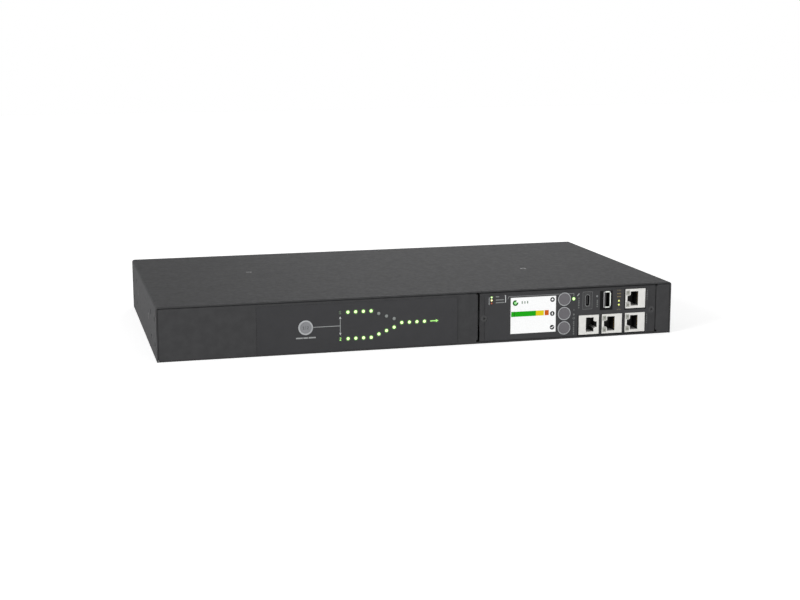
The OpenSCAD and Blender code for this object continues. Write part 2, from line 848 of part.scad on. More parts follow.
module module_carrier() {
    color([0.24, 0.24, 0.25]) difference() {
        run_x(module_x0, module_x1) carrier_profile();
        slab(front_y - cut, front_y + sheet_t + cut) module_cutouts(fit_gap);
        at_module_screws() screw_hole(0);
    }
}

module module_overlay() {
    color([0.18, 0.18, 0.19]) slab(face_y, front_y) difference() {
        translate([module_overlay_x0, panel_z - module_overlay_h / 2])
            square([module_overlay_x1 - module_overlay_x0, module_overlay_h]);
        module_cutouts(fit_gap);
        for (x = module_screw_xs) translate([x, panel_z]) circle(d = head_d + 2 * fit_gap);
    }
}

module interface_board() {
    color([0.06, 0.28, 0.16]) slab(module_board_front, module_board_front + pcb_t)
        translate([module_board_x0, module_board_z0])
            square([module_board_x1 - module_board_x0, module_board_z1 - module_board_z0]);
}

// Outline of the screen's panel, narrower on the side of the buttons
module lcd_outline(inset) {
    width = screen_size.x + lcd_left + lcd_right;
    height = screen_size.y + 2 * lcd_rim;
    translate([screen_mid.x - screen_size.x / 2 - lcd_left, screen_mid.y - height / 2])
        translate([inset, inset]) square([width - 2 * inset, height - 2 * inset]);
}

module lcd_panel() {
    color([0.93, 0.94, 0.92]) slab(front_y + sheet_t, lcd_back) lcd_outline(0);
}

module lcd_window() {
    color([0.9, 0.92, 0.93]) slab(face_y, front_y + sheet_t - slip) window(screen_mid, screen_size);
}

// Rectangular frame that holds the panel off the board
module lcd_frame() {
    color([0.15, 0.15, 0.16]) slab(lcd_back, module_board_front) difference() {
        lcd_outline(0);
        lcd_outline(lcd_wall);
    }
}

// Mouth of a modular jack lying on its side: the plug's body, then the two steps of its latch
plug_w = 6.8;
plug_h = 12.2;
plug_left = -4.3;
latch_w = 1;
latch_h = 6;
keeper_w = 1.8;
keeper_h = 5;

module jack_mouth() {
    translate([plug_left, -plug_h / 2]) square([plug_w, plug_h]);
    translate([plug_left - latch_w, -latch_h / 2]) square([latch_w + slip, latch_h]);
    translate([plug_left - latch_w - keeper_w, -keeper_h / 2]) square([keeper_w + slip, keeper_h]);
}

module jack(x, z, flipped = false) {
    color([0.82, 0.81, 0.77]) translate([x, 0, z]) mirror([flipped ? 1 : 0, 0, 0]) difference() {
        slab(jack_front, module_board_front) square(jack_size, center = true);
        slab(jack_front - cut, jack_front + jack_depth) jack_mouth();
    }
}

module network_jack() {
    jack(jack_xs[0], jack_high_z);
}

module serial_jack() {
    jack(jack_xs[0], jack_low_z);
}

module sensor_jack_1() {
    jack(jack_xs[1], jack_low_z);
}

module sensor_jack_2() {
    jack(jack_xs[2], jack_low_z, true);
}

// Eight sprung contacts along the flat side of each mouth
contact_count = 8;
contact_pitch = 1.02;
contact_w = 0.45;
contact_t = 0.4;
contact_recess = 1.5;

module contact_row() {
    plug_right = plug_left + plug_w;
    slab(jack_front + contact_recess, jack_front + jack_depth) for (i = [0:contact_count - 1])
        window([plug_right - contact_t / 2, (i - (contact_count - 1) / 2) * contact_pitch],
            [contact_t, contact_w]);
}

module jack_contacts() {
    color([0.85, 0.68, 0.3]) {
        for (i = [0:1]) translate([jack_xs[i], 0, jack_low_z]) contact_row();
        translate([jack_xs[0], 0, jack_high_z]) contact_row();
        translate([jack_xs[2], 0, jack_low_z]) mirror([1, 0, 0]) contact_row();
    }
}

// Outline with half-round ends, standing upright
module stadium(w, h) {
    square([w, h - w], center = true);
    for (side = [-1, 1]) translate([0, side * (h - w) / 2]) circle(d = w);
}

module usb_c_port() {
    mouth_depth = 7;
    color([0.2, 0.2, 0.21]) translate([usb_c_mid.x, 0, usb_c_mid.y]) {
        difference() {
            slab(face_y, module_board_front) square([usb_c_w, usb_c_h], center = true);
            slab(face_y - cut, face_y + mouth_depth) stadium(3.4, 9.3);
        }
        slab(face_y + 1, face_y + mouth_depth) square([0.8, 6.7], center = true);
    }
}

module usb_a_port() {
    mouth_depth = 10;
    shell_t = 0.4;
    tongue_t = 1.9;
    color([0.7, 0.7, 0.71]) translate([usb_a_mid.x, 0, usb_a_mid.y]) {
        difference() {
            slab(face_y, module_board_front) square([usb_a_w, usb_a_h], center = true);
            slab(face_y - cut, face_y + mouth_depth)
                square([usb_a_w - 2 * shell_t, usb_a_h - 2 * shell_t], center = true);
        }
        slab(face_y + 0.8, face_y + mouth_depth) translate([shell_t - usb_a_w / 2, 0.9 - usb_a_h / 2])
            square([tongue_t, usb_a_h - 1.8]);
    }
}

module status_lenses() {
    color([0.9, 0.85, 0.55]) light_guides(status_lights, status_d, module_board_front);
}

module link_lenses() {
    color([0.8, 0.82, 0.45]) {
        light_guides(link_lights, status_d, module_board_front);
        light_guides([power_light], power_light_d, module_board_front);
    }
}

// ---------- Power board ----------

relay_step = relay_pitch * wide;
relay_front = 44;
relay_rear = 88;
relay_ys = [board_y + relay_front, board_y + relay_rear];
transformer_dx = 44;
transformer_front = 62;
transformer_xs = [transformer_dx * wide, 2 * transformer_dx * wide];
transformer_y = board_y + transformer_front;
capacitor_x = 140;
capacitor_front = 34;
capacitor_pitch = 28;
capacitor_spots = [
    for (i = [0, 1], j = [0, 1])
        [(capacitor_x + i * capacitor_pitch) * wide, board_y + capacitor_front + j * capacitor_pitch]
];

module insulation_sheet() {
    sheet_w = board_w + 6;
    sheet_l = board_l + 6;
    color([0.85, 0.84, 0.78]) translate([0, 0, sheet_t]) linear_extrude(0.5) difference() {
        window([0, board_y + board_l / 2], [sheet_w, sheet_l]);
        for (p = standoffs) translate(p) circle(d = standoff_d + 1);
        for (p = top_screws) translate(p) circle(d = post_d + 1);
    }
}

module board_standoffs() {
    color([0.75, 0.7, 0.45]) for (p = standoffs) translate([p.x, p.y, sheet_t]) difference() {
        cylinder(d = standoff_d, h = board_rise, $fn = 6);
        translate([0, 0, board_rise - screw_l]) cylinder(d = screw_d + 2 * slip, h = screw_l + cut);
    }
}

module board_screws() {
    head_h = 1.9;
    shank = screw_l - 1;
    color([0.7, 0.7, 0.7]) for (p = standoffs) translate([p.x, p.y, board_top]) {
        cylinder(d = screw_d + 2.6, h = head_h);
        translate([0, 0, -shank]) cylinder(d = screw_d, h = shank + cut);
    }
}

module power_board() {
    color([0.07, 0.3, 0.18]) translate([0, 0, board_z]) linear_extrude(pcb_t) difference() {
        translate([-board_w / 2, board_y]) square([board_w, board_l]);
        for (p = standoffs) translate(p) circle(d = screw_d + 2 * slip);
        for (p = top_screws) translate(p) circle(d = post_d + 1);
    }
}

// Block that stands on the board, given by its middle and footprint
module on_board(x, y, w, l, h) {
    translate([x - w / 2, y - l / 2, board_top]) cube([w, l, h]);
}

// Two rows of relays: the rear row switches the first source and the front row the second
module power_relays() {
    color([0.85, 0.55, 0.15]) for (y = relay_ys, i = [0:3])
        on_board(bank_xs[3] + (i - 1) * relay_step, y, relay_w * wide, relay_l, relay_h);
}

// Laminated core with its winding standing through the middle
module control_transformers() {
    core_l = transformer_w * 0.42;
    winding_l = transformer_w * 0.28;
    color([0.55, 0.5, 0.35]) for (x = transformer_xs) {
        on_board(x, transformer_y, transformer_w, core_l, transformer_h);
        for (side = [-1, 1]) on_board(
            x, transformer_y + side * (core_l + winding_l) / 2,
            transformer_w * 0.6, winding_l, transformer_h * 0.8
        );
    }
}

module capacitors() {
    color([0.12, 0.14, 0.25]) for (p = capacitor_spots)
        translate([p.x, p.y, board_top]) cylinder(d = capacitor_d, h = capacitor_h);
}

// Terminal blocks: one for each inlet and one, taller, for the busbars
module terminal_blocks() {
    top = mid_z + pin_dz / 2 + wire_d;
    color([0.16, 0.45, 0.25]) {
        for (x = inlet_xs) difference() {
            translate([x - pin_dx - wire_d, terminal_y, board_top])
                cube([2 * (pin_dx + wire_d), terminal_l, top - board_top]);
            inlet_wire_runs(x, wire_d + 2 * slip, terminal_y + terminal_l + cut);
        }
        difference() {
            translate([output_terminal_x - feed_dx - wire_d, terminal_y, board_top])
                cube([2 * (feed_dx + wire_d), terminal_l, bar_zs[0] + wire_d - board_top]);
            feed_wire_runs(wire_d + 2 * slip, terminal_y + terminal_l + cut);
        }
    }
}

function pin_spots(x) = [
    [x - pin_dx, mid_z - pin_dz / 2],
    [x + pin_dx, mid_z - pin_dz / 2],
    [x, mid_z + pin_dz / 2]
];

wire_end_y = board_rear_y - 1 - terminal_depth;

module inlet_wire_runs(x, d, to_y) {
    for (p = pin_spots(x)) rod_y(p.x, p.y, d, wire_end_y, to_y);
}

module feed_wire_runs(d, to_y) {
    for (i = [0:2]) rod_y(output_terminal_x + (i - 1) * feed_dx, bar_zs[i], d, wire_end_y, to_y);
}

module inlet_wires() {
    color([0.5, 0.2, 0.12]) for (x = inlet_xs) inlet_wire_runs(x, wire_d, inlet_back_y - tab_l);
}

module feed_wires() {
    color([0.12, 0.12, 0.12]) feed_wire_runs(wire_d, bar_y);
}

// Sockets for the flat cables, on the boards behind the panels and on the power board
module board_headers() {
    color([0.1, 0.1, 0.11]) {
        for (x = [flow_header_x, module_header_x]) on_board(x, header_y, header_w, header_l, header_h);
        slab(flow_board_front + pcb_t, flow_board_front + pcb_t + header_h)
            window([flow_header_x, ribbon_z], [header_w, header_l]);
        slab(module_board_front + pcb_t, module_board_front + pcb_t + header_h)
            window([module_header_x, ribbon_z], [header_w, header_l]);
    }
}

// Flat cable that runs back from a panel's board and turns down into the power board
module ribbon(x, from_y) {
    turn_y = header_y + ribbon_t / 2 - ribbon_r;
    top_z = ribbon_z + ribbon_t / 2;
    run_x(x - ribbon_w / 2, x + ribbon_w / 2) {
        translate([from_y, top_z - ribbon_t]) square([turn_y - from_y, ribbon_t]);
        translate([turn_y, top_z - ribbon_r]) fold(0, ribbon_r, ribbon_r - ribbon_t);
        translate([turn_y + ribbon_r - ribbon_t, board_top + header_h])
            square([ribbon_t, top_z - ribbon_r - board_top - header_h]);
    }
}

module ribbon_cables() {
    color([0.55, 0.57, 0.6]) {
        ribbon(flow_header_x, flow_board_front + pcb_t + header_h);
        ribbon(module_header_x, module_board_front + pcb_t + header_h);
    }
}

// ---------- Rear panel ----------

// Bar behind the outlet banks, from the first bank's right side to past the last bank's left side
module busbar(z) {
    x0 = output_terminal_x - feed_dx - bar_h / 2;
    x1 = bank_xs[0] + bank_body_w / 2 - 4;
    color([0.72, 0.45, 0.25]) translate([x0, bar_y, z - bar_h / 2]) cube([x1 - x0, bar_t, bar_h]);
}

module line_busbar() {
    busbar(bar_zs[0]);
}

module earth_busbar() {
    busbar(bar_zs[1]);
}

module neutral_busbar() {
    busbar(bar_zs[2]);
}

// Rectangle lying on its side with the two corners on the earth side cut off
module earth_keyed(w, h, key) {
    polygon([
        [-w / 2, -h / 2], [w / 2 - key, -h / 2], [w / 2, key - h / 2],
        [w / 2, h / 2 - key], [w / 2 - key, h / 2], [-w / 2, h / 2]
    ]);
}

module outlet_core() {
    difference() {
        earth_keyed(core_size.x, core_size.y, chamfer);
        for (side = [-1, 1]) window([-pin_dz / 2, side * pin_dx], [slot_w, slot_h]);
        window([pin_dz / 2, 0], [slot_w, slot_h]);
    }
}

// Bank of outlets moulded as one: a body through the wall, a flange outside it, and a recess
// with a keyed core in it for each outlet
module outlet_bank(x) {
    outside_y = rear_y + bank_flange_t;
    core_y = outside_y - core_drop;
    places = [for (i = [0:outlets_per_bank - 1]) (i - (outlets_per_bank - 1) / 2) * outlet_step];
    color([0.09, 0.09, 0.1]) translate([x, 0, mid_z]) {
        difference() {
            union() {
                slab(rear_y - bank_d, rear_y) square([bank_body_w, bank_body_h], center = true);
                slab(rear_y, outside_y) square([bank_w, bank_flange_h], center = true);
            }
            for (p = places) translate([p, 0, 0]) slab(outside_y - recess_d, outside_y + cut)
                earth_keyed(recess_size.x, recess_size.y, chamfer + 1);
        }
        for (p = places) translate([p, 0, 0]) {
            slab(outside_y - recess_d, core_y - slot_d) earth_keyed(core_size.x, core_size.y, chamfer);
            slab(core_y - slot_d, core_y) outlet_core();
        }
    }
}

module outlet_bank_1() {
    outlet_bank(bank_xs[0]);
}

module outlet_bank_2() {
    outlet_bank(bank_xs[1]);
}

module outlet_bank_3() {
    outlet_bank(bank_xs[2]);
}

module outlet_bank_4() {
    outlet_bank(bank_xs[3]);
}

// Cavity outline with the two corners above the earth pin cut off
module cavity_outline() {
    rotate(90) earth_keyed(cavity_h, cavity_w, chamfer);
}

module inlet(x) {
    outside_y = rear_y + inlet_flange_t;
    cavity_y = outside_y - cavity_d;
    color([0.1, 0.1, 0.11]) difference() {
        translate([x, 0, mid_z]) difference() {
            union() {
                slab(inlet_back_y, rear_y)
                    square([cavity_w + 2 * inlet_wall, cavity_h + 2 * inlet_wall], center = true);
                slab(rear_y, outside_y) square([inlet_flange_w, inlet_flange_h], center = true);
            }
            slab(cavity_y, outside_y + cut) cavity_outline();
        }
        slab(inlet_back_y - cut, cavity_y + cut) for (p = pin_spots(x))
            window(p, [pin_w + slip, pin_h + slip]);
        at_inlet_screws() screw_hole(inlet_flange_t);
    }
}

module inlet_1() {
    inlet(inlet_xs[0]);
}

module inlet_2() {
    inlet(inlet_xs[1]);
}

// Pins that stand in the cavities and come out behind as tabs
module inlet_pins() {
    pin_recess = 2;
    color([0.75, 0.73, 0.68]) for (x = inlet_xs)
        slab(inlet_back_y - tab_l, rear_y + inlet_flange_t - pin_recess)
            for (p = pin_spots(x)) window(p, [pin_w, pin_h]);
}

base_tray();
top_cover();
flat_head_screws();
cover_posts();
clinch_nuts();
ground_screw();
insulation_sheet();
board_standoffs();
board_screws();
flow_overlay();
flow_board();
led_chips();
source_1_lenses();
source_2_lenses();
output_lenses();
legend_lenses();
preference_bezel();
preference_cap();
preference_switch();
panel_spacers();
module_carrier();
module_overlay();
interface_board();
lcd_panel();
lcd_window();
lcd_frame();
nav_bezels();
menu_cap();
scroll_cap();
select_cap();
nav_switches();
network_jack();
serial_jack();
sensor_jack_1();
sensor_jack_2();
jack_contacts();
usb_c_port();
usb_a_port();
status_lenses();
link_lenses();
power_board();
power_relays();
control_transformers();
capacitors();
terminal_blocks();
board_headers();
inlet_wires();
feed_wires();
ribbon_cables();
line_busbar();
neutral_busbar();
earth_busbar();
inlet_1();
inlet_2();
inlet_pins();
outlet_bank_1();
outlet_bank_2();
outlet_bank_3();
outlet_bank_4();
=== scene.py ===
"""Looks of the rack transfer switch: finishes, lenses, printed graphics and the screen picture.

Everything is in metres in the row frame: +X to the right seen from the front, +Y to the rear, +Z up.
"""

import math

import bmesh
import bpy
from mathutils import Matrix, Vector


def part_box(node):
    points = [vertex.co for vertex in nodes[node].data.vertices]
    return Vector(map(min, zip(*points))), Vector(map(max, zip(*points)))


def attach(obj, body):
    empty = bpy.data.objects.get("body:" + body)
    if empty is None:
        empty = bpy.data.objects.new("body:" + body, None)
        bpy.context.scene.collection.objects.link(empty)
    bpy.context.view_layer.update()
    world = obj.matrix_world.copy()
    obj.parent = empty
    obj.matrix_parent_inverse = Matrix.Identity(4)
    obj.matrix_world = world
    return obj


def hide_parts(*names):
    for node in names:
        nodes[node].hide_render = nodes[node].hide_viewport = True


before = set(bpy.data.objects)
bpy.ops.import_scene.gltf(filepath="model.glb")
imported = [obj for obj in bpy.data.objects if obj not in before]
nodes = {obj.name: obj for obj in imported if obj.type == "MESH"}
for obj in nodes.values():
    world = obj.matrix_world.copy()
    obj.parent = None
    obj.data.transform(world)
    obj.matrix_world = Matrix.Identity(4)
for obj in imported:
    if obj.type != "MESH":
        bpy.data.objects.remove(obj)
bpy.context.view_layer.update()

MM = 0.001
PRINT_T = 0.03 * MM
ROUND = 40
HALF_PI = math.pi / 2


# ---------- Places taken from the frame ----------

def islands(node):
    """Boxes (low corner, high corner) of the separate solids of a node, from left to right."""
    mesh = nodes[node].data
    key_of = [tuple(round(c / (0.01 * MM)) for c in v.co) for v in mesh.vertices]
    parent = {k: k for k in key_of}

    def root(k):
        while parent[k] != k:
            parent[k] = parent[parent[k]]
            k = parent[k]
        return k

    for polygon in mesh.polygons:
        first = root(key_of[polygon.vertices[0]])
        for index in polygon.vertices[1:]:
            parent[root(key_of[index])] = first
    groups = {}
    for vertex, key in zip(mesh.vertices, key_of):
        groups.setdefault(root(key), []).append(vertex.co)
    boxes = [
        (Vector([min(c[i] for c in g) for i in range(3)]), Vector([max(c[i] for c in g) for i in range(3)]))
        for g in groups.values()
    ]
    return sorted(boxes, key=lambda b: (round(b[0].x, 5), -b[0].z))


def middle(box):
    return (box[0] + box[1]) / 2


# ---------- Materials ----------

def srgb(r, g, b):
    """Linear colour of an 8-bit sRGB triple."""
    def linear(value):
        value /= 255
        return value / 12.92 if value <= 0.04045 else ((value + 0.055) / 1.055) ** 2.4
    return (linear(r), linear(g), linear(b), 1.0)


def scaled(colour, factor):
    return tuple(min(1.0, c * factor) for c in colour[:3]) + (1.0,)


class Shader:
    """A Principled material whose colour, roughness and bump vary with noise in the row frame."""

    def __init__(self, name, colour, roughness, metallic=0.0, ior=None):
        self.material = bpy.data.materials.new(name)
        self.material.use_nodes = True
        self.tree = self.material.node_tree
        self.nodes = self.tree.nodes
        self.bsdf = self.nodes["Principled BSDF"]
        self.bsdf.inputs["Base Color"].default_value = colour
        self.bsdf.inputs["Roughness"].default_value = roughness
        self.bsdf.inputs["Metallic"].default_value = metallic
        if ior:
            self.bsdf.inputs["IOR"].default_value = ior
        self.coordinates = self.nodes.new("ShaderNodeTexCoord")
        self.colour = colour
        self.roughness = roughness

    def link(self, source, target):
        self.tree.links.new(source, target)

    def noise(self, size_mm, detail=3.0, stretch=(1, 1, 1)):
        """Noise whose features are about size_mm across."""
        mapping = self.nodes.new("ShaderNodeMapping")
        mapping.inputs["Scale"].default_value = stretch
        texture = self.nodes.new("ShaderNodeTexNoise")
        texture.inputs["Scale"].default_value = 1 / (size_mm * MM)
        texture.inputs["Detail"].default_value = detail
        self.link(self.coordinates.outputs["Object"], mapping.inputs["Vector"])
        self.link(mapping.outputs["Vector"], texture.inputs["Vector"])
        return texture.outputs["Fac"]

    def spread(self, value, low, high):
        """The value, from 0.35 to 0.65 where noise mostly lies, taken to low..high."""
        mapped = self.nodes.new("ShaderNodeMapRange")
        mapped.inputs["From Min"].default_value = 0.35
        mapped.inputs["From Max"].default_value = 0.65
        mapped.inputs["To Min"].default_value = low
        mapped.inputs["To Max"].default_value = high
        self.link(value, mapped.inputs["Value"])
        return mapped.outputs["Result"]

    def vary_colour(self, value, change):
        """Lets the base colour drift by the given share either way."""
        mix = self.nodes.new("ShaderNodeMix")
        mix.data_type = "RGBA"
        mix.inputs["A"].default_value = scaled(self.colour, 1 - change)
        mix.inputs["B"].default_value = scaled(self.colour, 1 + change)
        self.link(self.spread(value, 0, 1), mix.inputs["Factor"])
        self.link(mix.outputs["Result"], self.bsdf.inputs["Base Color"])
        return self

    def vary_roughness(self, value, change):
        spread = self.spread(value, self.roughness - change, self.roughness + change)
        self.link(spread, self.bsdf.inputs["Roughness"])
        return self

    def bump(self, value, depth_mm, strength=1.0):
        bump = self.nodes.new("ShaderNodeBump")
        bump.inputs["Distance"].default_value = depth_mm * MM
        bump.inputs["Strength"].default_value = strength
        self.link(value, bump.inputs["Height"])
        self.link(bump.outputs["Normal"], self.bsdf.inputs["Normal"])
        return self

    def specular(self, level):
        self.bsdf.inputs["Specular IOR Level"].default_value = level
        return self

    def glow(self, colour, strength):
        self.bsdf.inputs["Emission Color"].default_value = colour
        self.bsdf.inputs["Emission Strength"].default_value = strength
        return self


def painted(name, colour, roughness=0.5, grain=0.9, depth=0.02, specular=0.5):
    """Powder coat: a fine orange peel with a little mottling, drawn round over the sheet's edges."""
    shader = Shader(name, colour, roughness)
    shader.specular(specular)
    peel = shader.noise(grain, 2.0)
    shader.vary_colour(shader.noise(7, 4.0), 0.06)
    shader.vary_roughness(shader.noise(3, 3.0), 0.04)
    shader.bump(peel, depth, 0.35)
    edge = shader.nodes.new("ShaderNodeBevel")
    edge.samples = 4
    edge.inputs["Radius"].default_value = 0.35 * MM
    shader.link(edge.outputs["Normal"], shader.nodes["Bump"].inputs["Normal"])
    return shader.material


def film(name, colour, roughness=0.42):
    """Printed polyester overlay with a very fine matt tooth."""
    shader = Shader(name, colour, roughness)
    shader.specular(0.28)
    shader.vary_colour(shader.noise(11, 3.0), 0.05)
    shader.vary_roughness(shader.noise(0.7, 2.0), 0.03)
    shader.bump(shader.noise(0.25, 1.0), 0.004, 0.3)
    return shader.material


def moulded(name, colour, roughness=0.45, grain=0.6, depth=0.008, drift=0.05):
    """Moulded plastic with a light spark-eroded texture."""
    shader = Shader(name, colour, roughness)
    shader.vary_colour(shader.noise(5, 3.0), drift)
    shader.vary_roughness(shader.noise(1.5, 2.0), 0.05)
    shader.bump(shader.noise(grain, 2.0), depth, 0.4)
    return shader.material


def metal(name, colour, roughness=0.3, stretch=(1, 1, 1)):
    """Plated or rolled metal with faint streaks."""
    shader = Shader(name, colour, roughness, metallic=1.0)
    streaks = shader.noise(0.8, 4.0, stretch)
    shader.vary_colour(shader.noise(4, 3.0), 0.08)
    shader.vary_roughness(streaks, 0.08)
    shader.bump(streaks, 0.004, 0.3)
    return shader.material


def ink(name, colour, roughness=0.5, glow=0.0, specular=0.5):
    """Screen-printed ink, a little uneven."""
    shader = Shader(name, colour, roughness).specular(specular)
    shader.vary_colour(shader.noise(0.6, 2.0), 0.06)
    shader.bump(shader.noise(0.3, 1.0), 0.003, 0.3)
    if glow:
        shader.glow(colour, glow)
    return shader.material


def lens(name, colour, glow=0.0, glow_colour=None, roughness=0.22):
    """Clear or tinted lens that may be lit from behind."""
    shader = Shader(name, colour, roughness, ior=1.49)
    shader.vary_colour(shader.noise(0.8, 2.0), 0.06)
    shader.vary_roughness(shader.noise(0.9, 2.0), 0.03)
    if glow:
        shader.glow(glow_colour or colour, glow)
    return shader.material


PAINT = painted("chassis_powder_coat", srgb(69, 69, 70), 0.6, specular=0.018)
MODULE_PAINT = painted("module_powder_coat", srgb(67, 67, 68), 0.6, specular=0.018)
OVERLAY = film("overlay_film", srgb(46, 46, 48))
ZINC = metal("zinc_plate", srgb(196, 196, 190), 0.34)
BRASS = metal("passivated_brass", srgb(206, 178, 112), 0.3)
NICKEL = metal("nickel_plate", srgb(205, 200, 190), 0.28)
COPPER = metal("busbar_copper", srgb(200, 130, 90), 0.34, (0.2, 1, 1))
GOLD = metal("contact_gold", srgb(214, 176, 92), 0.25)
SHELL_STEEL = metal("port_steel", srgb(190, 190, 192), 0.26)
SOLDER_MASK = moulded("solder_mask", srgb(24, 86, 52), 0.35, 0.4, 0.004)
BLACK_MOULDING = moulded("black_moulding", srgb(34, 34, 36), 0.46)
DARK_MOULDING = moulded("dark_moulding", srgb(26, 26, 28), 0.4)
JACK_MOULDING = moulded("jack_moulding", srgb(232, 231, 227), 0.5, 0.5, 0.006, 0.03)
RELAY_CASE = moulded("relay_case", srgb(214, 128, 42), 0.36)
LAMINATION = moulded("varnished_core", srgb(128, 108, 78), 0.42, 0.3, 0.02)
CAN_SLEEVE = moulded("capacitor_sleeve", srgb(34, 40, 74), 0.32)
TERMINAL_GREEN = moulded("terminal_green", srgb(48, 116, 72), 0.42)
WIRE_BROWN = moulded("wire_brown", srgb(120, 60, 38), 0.4)
WIRE_BLACK = moulded("wire_black", srgb(30, 30, 31), 0.4)
RIBBON_GREY = moulded("ribbon_grey", srgb(150, 152, 158), 0.5, 1.2, 0.05)
FISH_PAPER = moulded("insulation_film", srgb(212, 206, 190), 0.6)
CHIP = lens("emitter_resin", srgb(230, 224, 178))
PREFERENCE_KEY = moulded("preference_key", srgb(130, 131, 134), 0.5, 0.5, 0.004, 0.03)
NAV_KEY = moulded("navigation_key", srgb(95, 93, 97), 0.5, 0.5, 0.004, 0.03)
SCREW_BLACK = moulded("screw_black_finish", srgb(40, 40, 41), 0.55, 0.5, 0.004)
# Near-black painted shade for the insides of the jack mouths and the hidden faces of their contacts
MOUTH_PAINTED_SHADE = moulded("jack_mouth_painted_shade", srgb(20, 20, 20), 0.6)
BEZEL = moulded("bezel_satin", srgb(178, 180, 182), 0.4, 0.5, 0.003, 0.03)
SCREEN_WHITE = lens(
    "screen_white", srgb(186, 187, 187), glow=0.5, glow_colour=srgb(255, 255, 255), roughness=0.1)

FINISHES = {
    "base_tray": PAINT, "top_cover": PAINT, "module_carrier": MODULE_PAINT,
    "flat_head_screws": SCREW_BLACK, "cover_posts": ZINC, "clinch_nuts": ZINC, "ground_screw": BRASS,
    "insulation_sheet": FISH_PAPER, "board_standoffs": BRASS, "board_screws": ZINC, "panel_spacers": ZINC,
    "flow_overlay": OVERLAY, "module_overlay": OVERLAY,
    "flow_board": SOLDER_MASK, "interface_board": SOLDER_MASK, "power_board": SOLDER_MASK,
    "led_chips": CHIP, "preference_bezel": BEZEL, "nav_bezels": BEZEL,
    "preference_cap": PREFERENCE_KEY, "menu_cap": NAV_KEY, "scroll_cap": NAV_KEY, "select_cap": NAV_KEY,
    "preference_switch": DARK_MOULDING, "nav_switches": DARK_MOULDING,
    "lcd_panel": SCREEN_WHITE, "lcd_window": SCREEN_WHITE, "lcd_frame": DARK_MOULDING,
    "network_jack": JACK_MOULDING, "serial_jack": JACK_MOULDING,
    "sensor_jack_1": JACK_MOULDING, "sensor_jack_2": JACK_MOULDING, "jack_contacts": GOLD,
    "usb_c_port": BLACK_MOULDING, "usb_a_port": SHELL_STEEL,
    "power_relays": RELAY_CASE, "control_transformers": LAMINATION, "capacitors": CAN_SLEEVE,
    "terminal_blocks": TERMINAL_GREEN, "board_headers": DARK_MOULDING,
    "inlet_wires": WIRE_BROWN, "feed_wires": WIRE_BLACK, "ribbon_cables": RIBBON_GREY,
    "line_busbar": COPPER, "neutral_busbar": COPPER, "earth_busbar": COPPER,
    "inlet_1": BLACK_MOULDING, "inlet_2": BLACK_MOULDING, "inlet_pins": NICKEL,
    "outlet_bank_1": BLACK_MOULDING, "outlet_bank_2": BLACK_MOULDING,
    "outlet_bank_3": BLACK_MOULDING, "outlet_bank_4": BLACK_MOULDING,
}

for name, finish in FINISHES.items():
    materials = nodes[name].data.materials
    materials.clear()
    materials.append(finish)


def paint_faces(node, materials, choose):
    """Gives each face of a CAD node the material that choose picks from its centre and normal."""
    mesh = nodes[node].data
    mesh.materials.clear()
    for material in materials:
        mesh.materials.append(material)
    for polygon in mesh.polygons:
        polygon.material_index = choose(polygon.center, polygon.normal)


def mouth_faces(node, depth):
    """Inside of a mouth cut from the front of a node: the faces off its outer planes, up to that depth."""
    low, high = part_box(node)
    tiny = 0.03 * MM

    def inside(centre):
        off_front = low.y + tiny < centre.y < low.y + depth + tiny
        off_sides = low.x + tiny < centre.x < high.x - tiny and low.z + tiny < centre.z < high.z - tiny
        return off_front and off_sides
    return inside


LIT_JACKS = ("network_jack", "serial_jack", "sensor_jack_1")
JACKS = LIT_JACKS + ("sensor_jack_2",)
JACK_MOUTH_DEPTH = 12 * MM
USB_A_MOUTH_DEPTH = 10.5 * MM

# Painted shade: the inside of each jack mouth takes a near-black colour, all but the wall that faces up
for name in JACKS:
    inside = mouth_faces(name, JACK_MOUTH_DEPTH)
    paint_faces(name, [JACK_MOULDING, MOUTH_PAINTED_SHADE], lambda c, n: 1 if inside(c) and n.z < 0.9 else 0)
# Inside the USB-A mouth every face takes the dark moulding: the tongue is black plastic, and on the steel
# walls the dark is painted shade
inside = mouth_faces("usb_a_port", USB_A_MOUTH_DEPTH)
paint_faces("usb_a_port", [SHELL_STEEL, DARK_MOULDING], lambda c, n: 1 if inside(c) else 0)
# Painted shade: the faces of the contacts that do not face the front take the near-black mouth colour
paint_faces("jack_contacts", [GOLD, MOUTH_PAINTED_SHADE], lambda c, n: 1 if n.y > -0.5 else 0)


# ---------- Mesh helpers ----------

def piece_from(name, mesh, body, materials):
    """Links a mesh as a piece that rides on a body."""
    for material in materials:
        mesh.materials.append(material)
    piece = bpy.data.objects.new(name, mesh)
    bpy.context.scene.collection.objects.link(piece)
    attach(piece, body)
    return piece


